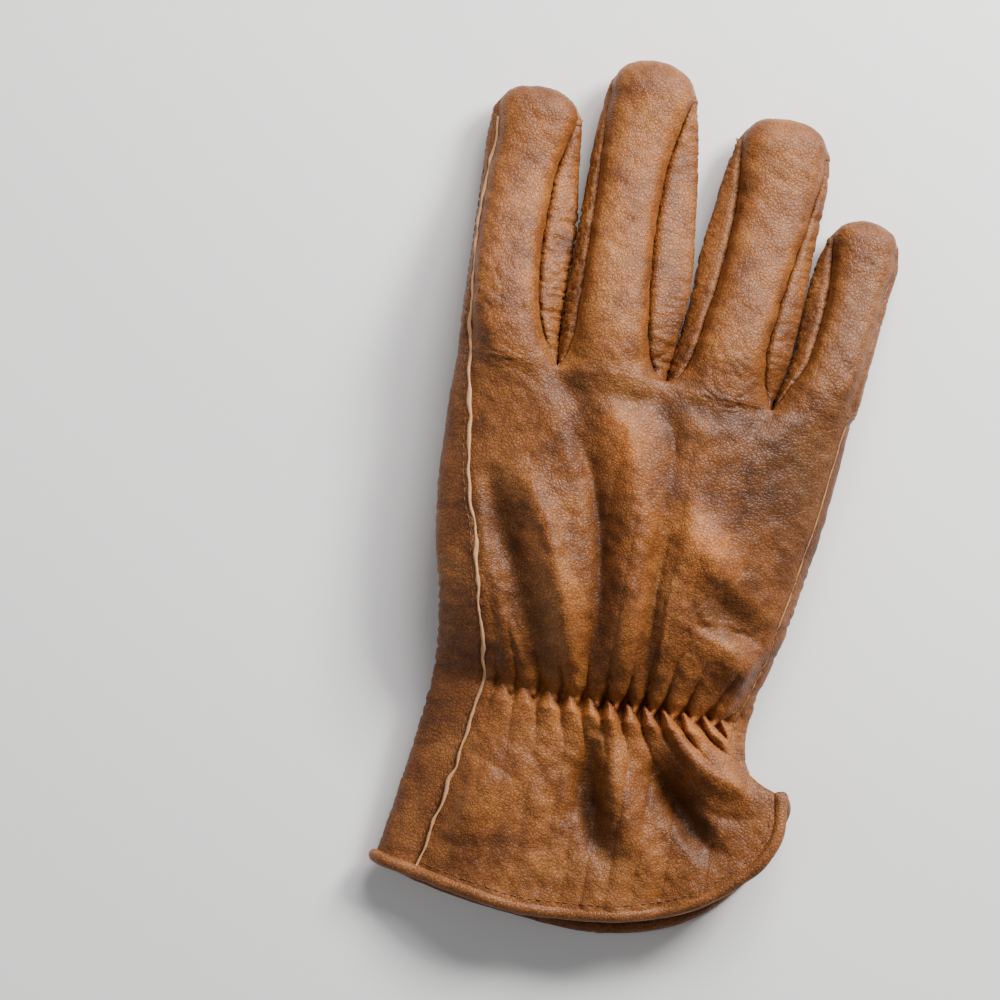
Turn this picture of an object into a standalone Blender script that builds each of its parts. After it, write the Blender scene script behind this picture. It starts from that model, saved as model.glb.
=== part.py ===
"""Leather work glove, right hand, lying on its palm with the thumb folded under.

Metres, +Y along the hand to the fingertips, +X to the little finger, +Z up out
of the back. The origin is on the flat underside of the thumb, on the ground.
Inside this file the plan is laid out from the wrist: x from the middle of the
palm, y from the line where the elastic gathers the wrist.
"""

import bpy
import numpy as np

# Driving dimensions, in metres
FINGER_WIDTH = {"index": 0.0300, "middle": 0.0325, "ring": 0.0320, "little": 0.0253}
FINGER_LENGTH = {"index": 0.0815, "middle": 0.0947, "ring": 0.0845, "little": 0.0588}
FINGER_DEPTH = 0.0195
HAND_LENGTH = 0.0945
HAND_DEPTH = 0.0205
CUFF_LENGTH = 0.0690
CUFF_DEPTH = 0.0160
PALM_HEIGHT = 0.0134
LEATHER = 0.0013
SEAM_GAP = 0.0003
FINGER_SLIT = 0.0010
HEM_BEAD = 0.0038
EDGE_WELT = 0.0011
BASE_WELT = 0.0020
THUMB_LENGTH = 0.1070
THUMB_WIDTH = 0.0550
THUMB_DEPTH = 0.0126
THUMB_HOLE_WIDTH = 0.0400
THUMB_HOLE_LENGTH = 0.0440
THUMB_CLEARANCE = 0.0012
THUMB_FLATTENING = 0.0008
THUMB_BULGE = 0.0040
PLEAT_PITCH = 0.0058
PLEAT_HEIGHT = 0.0013

NAMES = ("index", "middle", "ring", "little")
PALM_WIDTH = sum(FINGER_WIDTH.values())
SEAM_DROP = 1.3 * LEATHER + SEAM_GAP
TIP_RIM = 0.8 * LEATHER
FOOT_INSET = 0.065 * PALM_WIDTH
THUMB_HOLE_X = -0.200 * PALM_WIDTH
THUMB_HOLE_Y = 0.305 * HAND_LENGTH
THUMB_START = THUMB_HOLE_Y - THUMB_HOLE_LENGTH / 2

# Number of faces across or along each piece
FINGER_COLUMNS = 10
FRONT_COLUMNS = 4
SIDE_COLUMNS = 4
HAND_ROWS = 15
PALM_ROWS = 8
CUFF_ROWS = 8
PALM_CUFF_ROWS = 4
FINGER_ROWS = 6
THUMB_COLUMNS = 10
THUMB_BEND_ROWS = 4
THUMB_ROWS = 3
ARM_ROWS = 7
CAPS = (0.36, 0.70, 1.00, 1.01)

# Outline of the hand in plan.
# along: share of HAND_LENGTH from the wrist. The rest: shares of PALM_WIDTH from the middle.
HAND_OUTLINE = (
    # along, left_edge, left_seam, right_seam, right_edge
    (0.00, -0.418, -0.294, 0.338, 0.371),
    (0.12, -0.425, -0.311, 0.366, 0.386),
    (0.22, -0.437, -0.338, 0.388, 0.405),
    (0.33, -0.455, -0.354, 0.401, 0.426),
    (0.43, -0.473, -0.374, 0.417, 0.438),
    (0.54, -0.485, -0.401, 0.430, 0.452),
    (0.75, -0.497, -0.442, 0.462, 0.477),
    (1.00, -0.500, -0.468, 0.479, 0.500),
)

# Heights of the hand's section.
# back: share of HAND_DEPTH above the palm. left_fold, right_fold: the same, of the two side folds.
# palm: share of PALM_HEIGHT above the ground, over the thumb. heel: the same, beside it.
HAND_HEIGHTS = (
    # along, back, left_fold, right_fold, palm, heel
    (0.00, 0.68, 0.36, 0.40, 0.36, 0.22),
    (0.12, 0.84, 0.36, 0.42, 0.74, 0.32),
    (0.25, 0.92, 0.38, 0.44, 1.00, 0.42),
    (0.50, 1.00, 0.42, 0.46, 1.00, 0.50),
    (0.75, 0.98, 0.44, 0.46, 1.00, 0.54),
    (1.00, 0.95, 0.46, 0.46, 1.02, 0.58),
)

# Hem line, through the middle of its bead.
# across: share of the way from one side seam to the other. x: share of PALM_WIDTH.
# y: share of CUFF_LENGTH beyond the wrist. z: share of CUFF_DEPTH above the lowest bead.
BACK_HEM = (
    # across, x, y, z
    (0.00, -0.378, -0.866, 0.62),
    (0.13, -0.259, -0.901, 0.92),
    (0.27, -0.125, -0.933, 1.00),
    (0.40, 0.000, -0.926, 0.88),
    (0.53, 0.125, -0.900, 1.00),
    (0.65, 0.245, -0.845, 0.84),
    (0.76, 0.326, -0.775, 1.00),
    (0.86, 0.405, -0.664, 1.04),
    (0.92, 0.461, -0.554, 1.04),
    (0.965, 0.487, -0.416, 1.00),
    (1.00, 0.478, -0.272, 0.90),
)
PALM_HEM = (
    # across, x, y, z
    (0.00, -0.378, -0.866, 0.62),
    (0.05, -0.452, -0.845, 0.56),
    (0.10, -0.484, -0.833, 0.28),
    (0.15, -0.440, -0.855, 0.02),
    (0.22, -0.330, -0.905, 0.00),
    (0.35, -0.125, -0.957, 0.00),
    (0.48, 0.083, -0.975, 0.00),
    (0.60, 0.250, -0.907, 0.00),
    (0.70, 0.350, -0.800, 0.00),
    (0.79, 0.425, -0.655, 0.02),
    (0.86, 0.468, -0.520, 0.08),
    (0.91, 0.488, -0.420, 0.22),
    (0.95, 0.496, -0.340, 0.48),
    (1.00, 0.478, -0.272, 0.90),
)

# Outline of each finger in plan.
# along: share of FINGER_LENGTH from its base. The rest: shares of FINGER_WIDTH from its left corner.
FINGER_OUTLINE = {
    "index": (
        # along, left_edge, left_seam, right_seam, right_edge
        (0.00, 0.000, 0.128, 1.000, 1.000),
        (0.12, -0.010, 0.085, 0.800, 0.957),
        (0.30, -0.023, 0.025, 0.680, 0.943),
        (0.55, -0.043, -0.010, 0.650, 0.943),
        (0.69, -0.063, 0.003, 0.663, 0.890),
        (0.82, -0.077, 0.020, 0.735, 0.855),
        (0.90, -0.060, -0.020, 0.790, 0.830),
    ),
    "middle": (
        # along, left_edge, left_seam, right_seam, right_edge
        (0.00, 0.000, 0.000, 1.000, 1.000),
        (0.12, -0.015, 0.095, 0.780, 1.010),
        (0.28, -0.018, 0.095, 0.710, 1.055),
        (0.49, -0.020, 0.090, 0.668, 1.015),
        (0.70, -0.022, 0.065, 0.690, 0.950),
        (0.83, 0.000, 0.052, 0.766, 0.890),
        (0.89, 0.020, 0.055, 0.810, 0.850),
    ),
    "ring": (
        # along, left_edge, left_seam, right_seam, right_edge
        (0.00, 0.000, 0.000, 1.000, 1.000),
        (0.14, 0.048, 0.200, 0.870, 1.065),
        (0.31, 0.100, 0.278, 0.900, 1.105),
        (0.49, 0.118, 0.337, 0.975, 1.130),
        (0.67, 0.175, 0.362, 1.053, 1.162),
        (0.81, 0.219, 0.337, 1.110, 1.172),
        (0.88, 0.262, 0.315, 1.110, 1.150),
    ),
    "little": (
        # along, left_edge, left_seam, right_seam, right_edge
        (0.00, 0.000, 0.000, 0.902, 1.000),
        (0.20, 0.138, 0.290, 0.964, 1.043),
        (0.45, 0.180, 0.403, 1.036, 1.103),
        (0.66, 0.214, 0.427, 1.099, 1.162),
        (0.80, 0.269, 0.403, 1.150, 1.200),
        (0.87, 0.330, 0.380, 1.130, 1.170),
    ),
}

# Each finger where it leaves the hand, and its tip.
# palm: height of its underside, a share of PALM_HEIGHT. depth: share of FINGER_DEPTH.
# cap: share of FINGER_LENGTH left for the round tip.
FINGER_BASE = {
    # name: (palm, depth, cap)
    "index": (1.02, 1.00, 0.12),
    "middle": (1.02, 1.02, 0.12),
    "ring": (0.84, 1.00, 0.13),
    "little": (0.62, 0.94, 0.15),
}
# The crotches, from the index side, in shares of FINGER_DEPTH. forward: y past the base line.
# valley: depth below the backs of its fingers. rise: height above their undersides.
CROTCH = (
    # forward, valley, rise
    (0.00, 0.30, 0.16),
    (0.05, 0.30, 0.16),
    (-0.10, 0.30, 0.16),
)

# Heights along a finger. depth: share of its depth at the base.
# seam: distance between its two seams, a share of its depth there.
# lift: height of its underside, a share of that at the base.
FINGER_SHAPE = (
    # along, depth, seam, lift
    (0.00, 1.00, 0.50, 1.00),
    (0.15, 0.99, 0.50, 0.98),
    (0.35, 0.97, 0.50, 0.78),
    (0.60, 0.95, 0.48, 0.38),
    (0.80, 0.92, 0.44, 0.10),
    (1.00, 0.86, 0.36, 0.00),
)

# Outline of the thumb in plan, under the palm.
# along: share of THUMB_LENGTH from the wrist side of its hole.
# left, right: shares of THUMB_WIDTH from the middle of the hole.
THUMB_OUTLINE = (
    # along, left, right
    (0.50, -0.535, 0.455),
    (0.65, -0.473, 0.464),
    (0.79, -0.364, 0.464),
    (0.88, -0.264, 0.450),
    (0.93, -0.190, 0.410),
)

# Folds of the back, as soft ridges and valleys along a path of three points.
# x: shares of PALM_WIDTH, y: shares of HAND_LENGTH from the wrist, negative on the cuff.
# width: share of PALM_WIDTH. height: share of HAND_DEPTH, negative for a valley.
FOLDS = (
    # x_start, y_start, x_mid, y_mid, x_end, y_end, width, height
    (-0.370, 0.610, -0.270, 0.350, -0.140, 0.050, 0.038, -0.13),
    (-0.290, 0.650, -0.180, 0.430, -0.085, 0.040, 0.036, 0.12),
    (-0.205, 0.930, -0.085, 0.560, -0.025, 0.060, 0.036, -0.10),
    (-0.070, 0.860, 0.010, 0.560, 0.025, 0.070, 0.042, 0.10),
    (0.090, 0.640, 0.085, 0.350, 0.100, 0.050, 0.034, -0.10),
    (0.130, 0.600, 0.190, 0.500, 0.250, 0.420, 0.060, 0.12),
    (0.210, 0.390, 0.270, 0.330, 0.320, 0.280, 0.042, -0.12),
    (0.270, 0.240, 0.320, 0.180, 0.370, 0.140, 0.050, 0.12),
    (-0.100, 0.930, 0.040, 0.900, 0.075, 0.730, 0.030, -0.06),
    (0.170, -0.200, 0.245, -0.300, 0.315, -0.400, 0.034, -0.26),
    (0.200, -0.050, 0.290, -0.160, 0.420, -0.185, 0.040, 0.16),
    (0.008, -0.120, 0.010, -0.300, 0.070, -0.480, 0.032, -0.18),
    (-0.230, -0.260, -0.270, -0.380, -0.310, -0.520, 0.060, 0.12),
    (0.020, -0.090, 0.070, -0.250, 0.190, -0.500, 0.045, 0.12),
)

LOOKS = {
    # name: (colour, roughness)
    "back_panel": ((0.36, 0.15, 0.055), 0.55),
    "palm_panel": ((0.33, 0.13, 0.045), 0.55),
    "middle_front": ((0.33, 0.13, 0.045), 0.55),
    "ring_front": ((0.33, 0.13, 0.045), 0.55),
    "fourchette_index_middle": ((0.30, 0.12, 0.04), 0.58),
    "fourchette_middle_ring": ((0.30, 0.12, 0.04), 0.58),
    "fourchette_ring_little": ((0.30, 0.12, 0.04), 0.58),
    "thumb_outer": ((0.34, 0.14, 0.05), 0.55),
    "thumb_inner": ((0.34, 0.14, 0.05), 0.55),
    "cuff_binding": ((0.34, 0.14, 0.05), 0.5),
    "thumb_side_welt": ((0.52, 0.30, 0.15), 0.7),
    "finger_base_welt": ((0.30, 0.12, 0.04), 0.58),
}


def read(table, at):
    """Smooth curve through a table's rows, read at the values of its first column."""
    rows = np.array(table)
    keys, values = rows[:, 0], rows[:, 1:]
    slopes = np.gradient(values, keys, axis=0)
    at = np.clip(np.asarray(at, float), keys[0], keys[-1])
    i = np.clip(np.searchsorted(keys, at) - 1, 0, len(keys) - 2)
    span = (keys[i + 1] - keys[i])[..., None]
    t = (at[..., None] - keys[i][..., None]) / span
    start = values[i] * (1 + 2 * t) * (1 - t) ** 2 + slopes[i] * span * t * (1 - t) ** 2
    end = values[i + 1] * t * t * (3 - 2 * t) - slopes[i + 1] * span * t * t * (1 - t)
    return np.moveaxis(start + end, -1, 0)


def step(low, high, at):
    """Smooth step from 0 at low to 1 at high."""
    t = np.clip((np.asarray(at, float) - low) / (high - low), 0, 1)
    return t * t * (3 - 2 * t)


def mix(a, b, share):
    return a + (b - a) * share


def finger_left(name):
    """x of a finger's left corner on the base line."""
    before = [FINGER_WIDTH[other] for other in NAMES[: NAMES.index(name)]]
    return -PALM_WIDTH / 2 + sum(before)


def crotch(i):
    """The point between finger i and finger i + 1, on the back and on the palm."""
    forward, valley, rise = CROTCH[i]
    left, right = NAMES[i], NAMES[i + 1]
    x = finger_left(right)
    y = HAND_LENGTH + forward * FINGER_DEPTH
    tops = [finger_heights(name, 0)[0] for name in (left, right)]
    floors = [finger_heights(name, 0)[1] for name in (left, right)]
    back = sum(tops) / 2 - valley * FINGER_DEPTH
    palm = sum(floors) / 2 + rise * FINGER_DEPTH
    return x, y, back, palm


def finger_heights(name, along):
    """Crest, underside and the two seam heights of a finger."""
    palm, deep, _ = FINGER_BASE[name]
    depth, seam, lift = read(FINGER_SHAPE, along)
    low = palm * PALM_HEIGHT * lift
    high = low + depth * deep * FINGER_DEPTH
    middle = (low + high) / 2
    reach = seam * (high - low) / 2
    return high, low, middle + reach, middle - reach


def finger_plan(name, along):
    """y, the two edges and the two seams of a finger at shares of its length."""
    cap = FINGER_BASE[name][2]
    shares = read(FINGER_OUTLINE[name], np.asarray(along) * (1 - cap))
    x = finger_left(name) + shares * FINGER_WIDTH[name]
    y = HAND_LENGTH + np.asarray(along) * (1 - cap) * FINGER_LENGTH[name]
    return y, x


def base_line(x):
    """y of the line through the crotches, where the fingers leave the hand."""
    knots = [-PALM_WIDTH / 2] + [crotch(i)[0] for i in range(3)] + [PALM_WIDTH / 2]
    lines = [HAND_LENGTH] + [crotch(i)[1] for i in range(3)] + [HAND_LENGTH]
    return np.interp(x, knots, lines)


def seam_height(name, side, along, face):
    """Height of a finger's seam. At the base it meets the crotch or the hand's side fold."""
    back_high, front_low, back_seam, front_seam = finger_heights(name, along)
    place = NAMES.index(name) - (1 if side == "left" else 0)
    free = back_seam if face == "back" else front_seam
    if 0 <= place <= 2:
        base = crotch(place)[2 if face == "back" else 3]
    elif face == "back":
        base = hand_back(base_seam_x(side), 1.0)
    else:
        base = free
    return mix(base, free, step(0.0, 0.22, along))


def base_seam_x(side):
    """x of the hand's side seam on the base line."""
    outline = read(HAND_OUTLINE, 1.0) * PALM_WIDTH
    return outline[1] if side == "left" else outline[2]


def hand_section(along):
    """Edges in plan and the heights of the hand's section."""
    left, left_seam, right_seam, right = read(HAND_OUTLINE, along) * PALM_WIDTH
    back, left_fold, right_fold, palm, heel = read(HAND_HEIGHTS, along)
    low = palm * PALM_HEIGHT
    return {
        "left": left,
        "left_seam": left_seam,
        "right_seam": right_seam,
        "right": right,
        "back": low + back * HAND_DEPTH,
        "left_fold": low + left_fold * HAND_DEPTH,
        "right_fold": heel * PALM_HEIGHT + right_fold * HAND_DEPTH,
        "palm": low,
        "heel": heel * PALM_HEIGHT,
    }


def hand_back(x, along):
    """Height of the back of the hand, before its folds."""
    s = hand_section(along)
    u = np.clip((2 * x - s["left"] - s["right"]) / (s["right"] - s["left"]), -1, 1)
    side = mix(s["left_fold"], s["right_fold"], (1 + u) / 2)
    crown = (1 - np.abs(u) ** 2.8) ** 0.55
    tilt = 1 - 0.10 * step(-0.1, 1.0, u)
    return side + (s["back"] * tilt - side) * crown


def hand_palm(x, along):
    """Height of the outside of the palm."""
    s = hand_section(along)
    u = np.clip((2 * x - s["left"] - s["right"]) / (s["right"] - s["left"]), -1, 1)
    flat = mix(s["palm"], s["heel"], step(0.15, 0.95, u))
    return flat + 0.10 * HAND_DEPTH * np.abs(u) ** 6


def finger_back(name, across, along):
    """A finger's back from seam to seam: across runs from -1 to 1."""
    y, (left, left_seam, right_seam, right) = finger_plan(name, along)
    high = finger_heights(name, along)[0]
    round_ = 0.45 * step(0.0, 0.3, along)
    spread = mix(across, np.sin(across * np.pi / 2), round_)
    x = mix(left_seam, right_seam, (1 + spread) / 2)
    sides = [seam_height(name, side, along, "back") for side in ("left", "right")]
    side = np.where(across < 0, sides[0], sides[1])
    z = high - (high - side) * np.abs(across) ** 2.6
    y = y + (base_line(x) - HAND_LENGTH) * (1 - step(0, 0.15, along))
    return x, y, z


def finger_front(name, across, along):
    """A finger's underside from seam to seam."""
    y, (left, left_seam, right_seam, right) = finger_plan(name, along)
    left_foot = mix(left_seam, left, 0.5)
    right_foot = mix(right_seam, right, 0.5)
    low = finger_heights(name, along)[1]
    sides = [seam_height(name, side, along, "front") for side in ("left", "right")]
    side = np.where(across < 0, sides[0], sides[1])
    x = mix(left_foot, right_foot, (1 + across) / 2)
    z = low + (side - low) * np.abs(across) ** 2.6
    y = y + (base_line(x) - HAND_LENGTH) * (1 - step(0, 0.15, along))
    return x, y, z


def capped(line, name, across, along, cap):
    """A finger's face with its round tip. cap: 0 where the tip starts, 1 at its end, more on its rim."""
    x, y, z = line(name, across, along)
    high, low, _, _ = finger_heights(name, along)
    middle = (high + low) / 2
    reach = FINGER_BASE[name][2] * FINGER_LENGTH[name]
    turn = min(cap, 1) * np.pi / 2
    y = y + reach * np.sqrt(1 - (0.96 * across) ** 2) * np.sin(turn)
    face = np.sign(z - middle)
    rim = face * TIP_RIM
    z = middle + rim + (z - middle - rim) * np.cos(turn)
    return x, y, np.where(cap > 1, middle + face * SEAM_GAP / 2, z)


def side_wall(top, edge, foot, down, roundness):
    """A side from its top seam, out to the edge in plan and back in to its foot."""
    bulge = np.sin(np.pi * down) ** roundness
    x = mix(top[0], foot[0], down)
    x = x + (edge - (top[0] + foot[0]) / 2) * bulge
    return x, mix(top[1], foot[1], down), mix(top[2], foot[2], down)


def path_distance(x, y, fold):
    """Distance to a fold's path and the share of the way along it."""
    points = np.array(fold[:6]).reshape(3, 2) * (PALM_WIDTH, HAND_LENGTH)
    t = np.linspace(0, 1, 9)[:, None]
    middle = 2 * points[1] - (points[0] + points[2]) / 2
    path = points[0] * (1 - t) ** 2 + 2 * middle * t * (1 - t) + points[2] * t * t
    best = np.full(np.shape(x), np.inf)
    share = np.zeros(np.shape(x))
    for i in range(len(path) - 1):
        run = path[i + 1] - path[i]
        at = ((x - path[i][0]) * run[0] + (y - path[i][1]) * run[1]) / (run @ run)
        at = np.clip(at, 0, 1)
        gap = np.hypot(x - path[i][0] - at * run[0], y - path[i][1] - at * run[1])
        share = np.where(gap < best, (i + at) / (len(path) - 1), share)
        best = np.minimum(best, gap)
    return best, share


def folds(x, y):
    """Height that the folds add to the back."""
    total = np.zeros(np.shape(x))
    for fold in FOLDS:
        gap, share = path_distance(x, y, fold)
        fade = np.clip(np.sin(np.pi * np.clip(share * 0.9 + 0.05, 0, 1)), 0, 1) ** 0.5
        width = fold[6] * PALM_WIDTH
        total += fold[7] * HAND_DEPTH * fade * np.exp(-((gap / width) ** 2))
    return total


def pleats(x, y):
    """Height of the pleats that the elastic gathers at the wrist."""
    phase = 2 * np.pi * x / PLEAT_PITCH
    above = np.cos(phase) * np.exp(-np.maximum(y, 0) / (1.6 * PLEAT_PITCH))
    below = -np.cos(phase) * np.exp(np.minimum(y, 0) / (1.9 * PLEAT_PITCH))
    side = step(-0.3 * PLEAT_PITCH, 0.3 * PLEAT_PITCH, y)
    cinch = -0.9 * np.exp(-((y / (0.45 * PLEAT_PITCH)) ** 2))
    return PLEAT_HEIGHT * (mix(below, above, side) + cinch)


def hand_grid(across, along):
    """Back of the hand from seam to seam, from the wrist to the base of the fingers."""
    s = hand_section(along)
    x = mix(s["left_seam"], s["right_seam"], across)
    z = hand_back(x, along)
    base_x, base_y, base_z = back_base(across)
    near = step(0.72, 1.0, along)
    x = mix(x, base_x, near)
    y = mix(along * HAND_LENGTH, base_y, step(0.6, 1.0, along))
    return x, y, mix(z, base_z, near)


def back_base(across):
    """The row where the back of the hand becomes the four fingers."""
    place = across * len(NAMES)
    which = np.clip(np.floor(place).astype(int), 0, len(NAMES) - 1)
    rows = [finger_back(name, 2 * (place - i) - 1, 0.0) for i, name in enumerate(NAMES)]
    return tuple(np.choose(which, [row[axis] for row in rows]) for axis in range(3))


def hem_point(table, across):
    x, y, z = read(table, across)
    return x * PALM_WIDTH, y * CUFF_LENGTH, HEM_BEAD / 2 + np.maximum(z, 0) * CUFF_DEPTH


def hem_room(wrist, hem, bow):
    """Share of each line from hem to wrist that the hem's bead takes up."""
    line = np.array([wrist[0] - hem[0] + bow[0], wrist[1] - hem[1] + bow[1]])
    edge = np.array([np.gradient(hem[0]), np.gradient(hem[1])])
    across = np.abs(line[0] * edge[1] - line[1] * edge[0]) / np.linalg.norm(edge, axis=0)
    across = np.maximum(across, 0.3 * np.linalg.norm(line, axis=0))
    return (HEM_BEAD / 2 + 2 * SEAM_GAP) / across


def cuff_grid(wrist, hem, out, bow):
    """Cuff between a point of the wrist and a point of the hem, with a bow in plan."""
    x = mix(hem[0], wrist[0], out) + bow[0] * out * (1 - out)
    y = mix(hem[1], wrist[1], out) + bow[1] * out * (1 - out)
    z = mix(hem[2], wrist[2], out ** 1.3)
    return x, y, z


def cuff_bow(across):
    """How far the cuff's lines from wrist to hem bow in plan."""
    return 0.02 * PALM_WIDTH, -0.20 * CUFF_LENGTH * across**4


def back_points():
    """Rows of the back panel from the hem to the base of the fingers."""
    across = np.linspace(0, 1, FINGER_COLUMNS * len(NAMES) + 1)
    hem = hem_point(BACK_HEM, across)
    wrist = hand_grid(across, 0.0)
    bow = cuff_bow(across)
    start = hem_room(wrist, hem, bow)
    rows = []
    for i in range(CUFF_ROWS):
        out = mix(start, 1.0, i / CUFF_ROWS)
        x, y, z = cuff_grid(wrist, hem, out, bow)
        rows.append((x, y, z + (1 - out) * LEATHER / 2))
    for i in range(HAND_ROWS + 1):
        rows.append(hand_grid(across, (i / HAND_ROWS) ** 1.12))
    points = np.array([np.broadcast_arrays(*row) for row in rows]).transpose(0, 2, 1)
    return relieved(points, across)


def relieved(points, across):
    """Adds the folds and the pleats, which fade out towards the seams."""
    x, y = points[..., 0], points[..., 1]
    inside = np.minimum(step(0, 0.07, across), step(0, 0.05, 1 - across))
    top = 1 - step(0.93, 1.0, y / HAND_LENGTH)
    points[..., 2] += (folds(x, y) * top + pleats(x, y)) * inside
    return points


def seam_inset(points, left, right):
    """Draws a grid's two side columns in from their seams."""
    for column, next_one, gap in ((0, 1, left), (-1, -2, right)):
        run = points[:, next_one] - points[:, column]
        length = np.linalg.norm(run, axis=1, keepdims=True)
        points[:, column] += run / length * np.minimum(gap, 0.45 * length)
    return points


def finger_strip(line, name):
    """Rows of a finger's back or underside, without its base row."""
    columns = FINGER_COLUMNS if line is finger_back else FRONT_COLUMNS
    across = np.linspace(-1, 1, columns + 1)
    rows = [capped(line, name, across, (i / FINGER_ROWS), 0.0) for i in range(1, FINGER_ROWS + 1)]
    rows += [capped(line, name, across, 1.0, cap) for cap in CAPS]
    return np.array(rows).transpose(0, 2, 1)


def new_piece(name, surface, collection, parent):
    """A leather piece: an open surface, thickened towards the inside."""
    mesh = bpy.data.meshes.new(name)
    mesh.from_pydata(surface.vertices, [], surface.faces)
    mesh.validate()
    mesh.shade_smooth()
    piece = bpy.data.objects.new(name, mesh)
    collection.objects.link(piece)
    piece.parent = parent
    piece.data.materials.append(leather(name))
    wall = piece.modifiers.new("Leather", "SOLIDIFY")
    wall.thickness = LEATHER
    wall.offset = -1
    return piece


def leather(name):
    colour, roughness = LOOKS[name]
    material = bpy.data.materials.new(name)
    material.use_nodes = True
    shader = material.node_tree.nodes["Principled BSDF"]
    shader.inputs["Base Color"].default_value = (*colour, 1)
    shader.inputs["Roughness"].default_value = roughness
    shader.inputs["Metallic"].default_value = 0.0
    return material


class Surface:
    """A leather surface that grows strip by strip, each from a part of an earlier last row."""

    def __init__(self):
        self.vertices = []
        self.faces = []

    def grow(self, strip, row=None):
        """Adds the strip's rows after the given row, and returns its last row."""
        rows, columns = strip.shape[:2]
        first = len(self.vertices)
        index = np.arange(first, first + rows * columns).reshape(rows, columns)
        self.vertices += [tuple(point) for point in strip.reshape(-1, 3)]
        if row is not None:
            index = np.vstack([row, index])
        for a, b in zip(index[:-1], index[1:]):
            for c in range(columns - 1):
                self.faces.append((int(a[c]), int(a[c + 1]), int(b[c + 1]), int(b[c])))
        return index[-1]

    def flipped(self):
        self.faces = [face[::-1] for face in self.faces]
        return self


def back_panel(collection, parent):
    base = back_points()
    welt = EDGE_WELT / 2 + SEAM_GAP
    surface = Surface()
    last = surface.grow(seam_inset(base, welt, SEAM_GAP / 2))
    for i, name in enumerate(NAMES):
        strip = finger_strip(finger_back, name)
        left = welt if i == 0 else SEAM_GAP / 2
        first = i * FINGER_COLUMNS
        surface.grow(seam_inset(strip, left, SEAM_GAP / 2), last[first : first + FINGER_COLUMNS + 1])
    new_piece("back_panel", surface, collection, parent)


def palm_row(along):
    """One row of the palm, from the left seam down, across and up to the right seam."""
    s = hand_section(along)
    down = np.linspace(0, 1, SIDE_COLUMNS + 1)
    flat = np.linspace(0, 1, FRONT_COLUMNS * len(NAMES) + 1)
    near = step(0.72, 1.0, along)
    base = palm_base(flat)
    x = mix(mix(s["left"] + FOOT_INSET, s["right"] - FOOT_INSET, flat), base[0], near)
    z = mix(hand_palm(x, along), base[2], near)
    y = mix(along * HAND_LENGTH, base[1], step(0.6, 1.0, along)) + 0 * x
    left, right = (np.ravel(hand_grid(np.array([side]), along)) for side in (0.0, 1.0))
    right[2] -= SEAM_DROP
    left_wall = side_wall(left, s["left"], (x[0], y[0], z[0]), down, 1.0)
    right_wall = side_wall(right, s["right"], (x[-1], y[-1], z[-1]), down, 1.0)
    middle = np.array([x, y, z]).T
    return np.vstack([np.array(left_wall).T[:-1], middle, np.array(right_wall).T[::-1][1:]])


def palm_base(flat):
    """The row where the palm becomes the undersides of the four fingers."""
    place = flat * len(NAMES)
    which = np.clip(np.floor(place).astype(int), 0, len(NAMES) - 1)
    rows = [finger_front(name, 2 * (place - i) - 1, 0.0) for i, name in enumerate(NAMES)]
    return tuple(np.choose(which, [row[axis] for row in rows]) for axis in range(3))


def palm_points():
    """Rows of the palm from the hem to the base of the fingers."""
    wrist = palm_row(0.0)
    across = np.linspace(0, 1, len(wrist))
    hem = np.array(hem_point(PALM_HEM, across)).T
    hem[-1, 2] -= SEAM_DROP
    bow = cuff_bow(across)
    start = hem_room(wrist.T, hem.T, bow)
    rows = []
    for i in range(PALM_CUFF_ROWS):
        out = mix(start, 1.0, i / PALM_CUFF_ROWS)
        x, y, z = cuff_grid(wrist.T, hem.T, out, bow)
        rows.append(np.array([x, y, z - (1 - out) * LEATHER / 2]).T)
    rows += [palm_row(i / PALM_ROWS) for i in range(PALM_ROWS + 1)]
    rows[-1][:, 1] -= welt_room(len(wrist))
    return np.array(rows)


def welt_room(count):
    """How far each point of the palm's last row keeps back from the welt at the finger bases."""
    first = SIDE_COLUMNS + FRONT_COLUMNS
    room = np.zeros(count)
    room[first + 1 : first + 2 * FRONT_COLUMNS] = BASE_WELT / 2 + SEAM_GAP
    return room


def outer_front(name, along):
    """Underside of the index or little finger with the side that wraps up to the back's seam."""
    across = np.linspace(-1, 1, FRONT_COLUMNS + 1)
    front = np.array(capped(finger_front, name, across, along, 0.0)).T
    backs = np.array(capped(finger_back, name, np.array([-1.0, 1.0]), along, 0.0)).T
    edges = finger_plan(name, along)[1]
    down = np.linspace(0, 1, SIDE_COLUMNS + 1)
    if name == "index":
        wall = np.array(side_wall(backs[0], edges[0], front[0], down, 1.0)).T
        return np.vstack([wall[:-1], front])
    backs[-1, 2] -= SEAM_DROP
    wall = np.array(side_wall(backs[-1], edges[-1], front[-1], down, 1.0)).T
    return np.vstack([front, wall[::-1][1:]])


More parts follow.
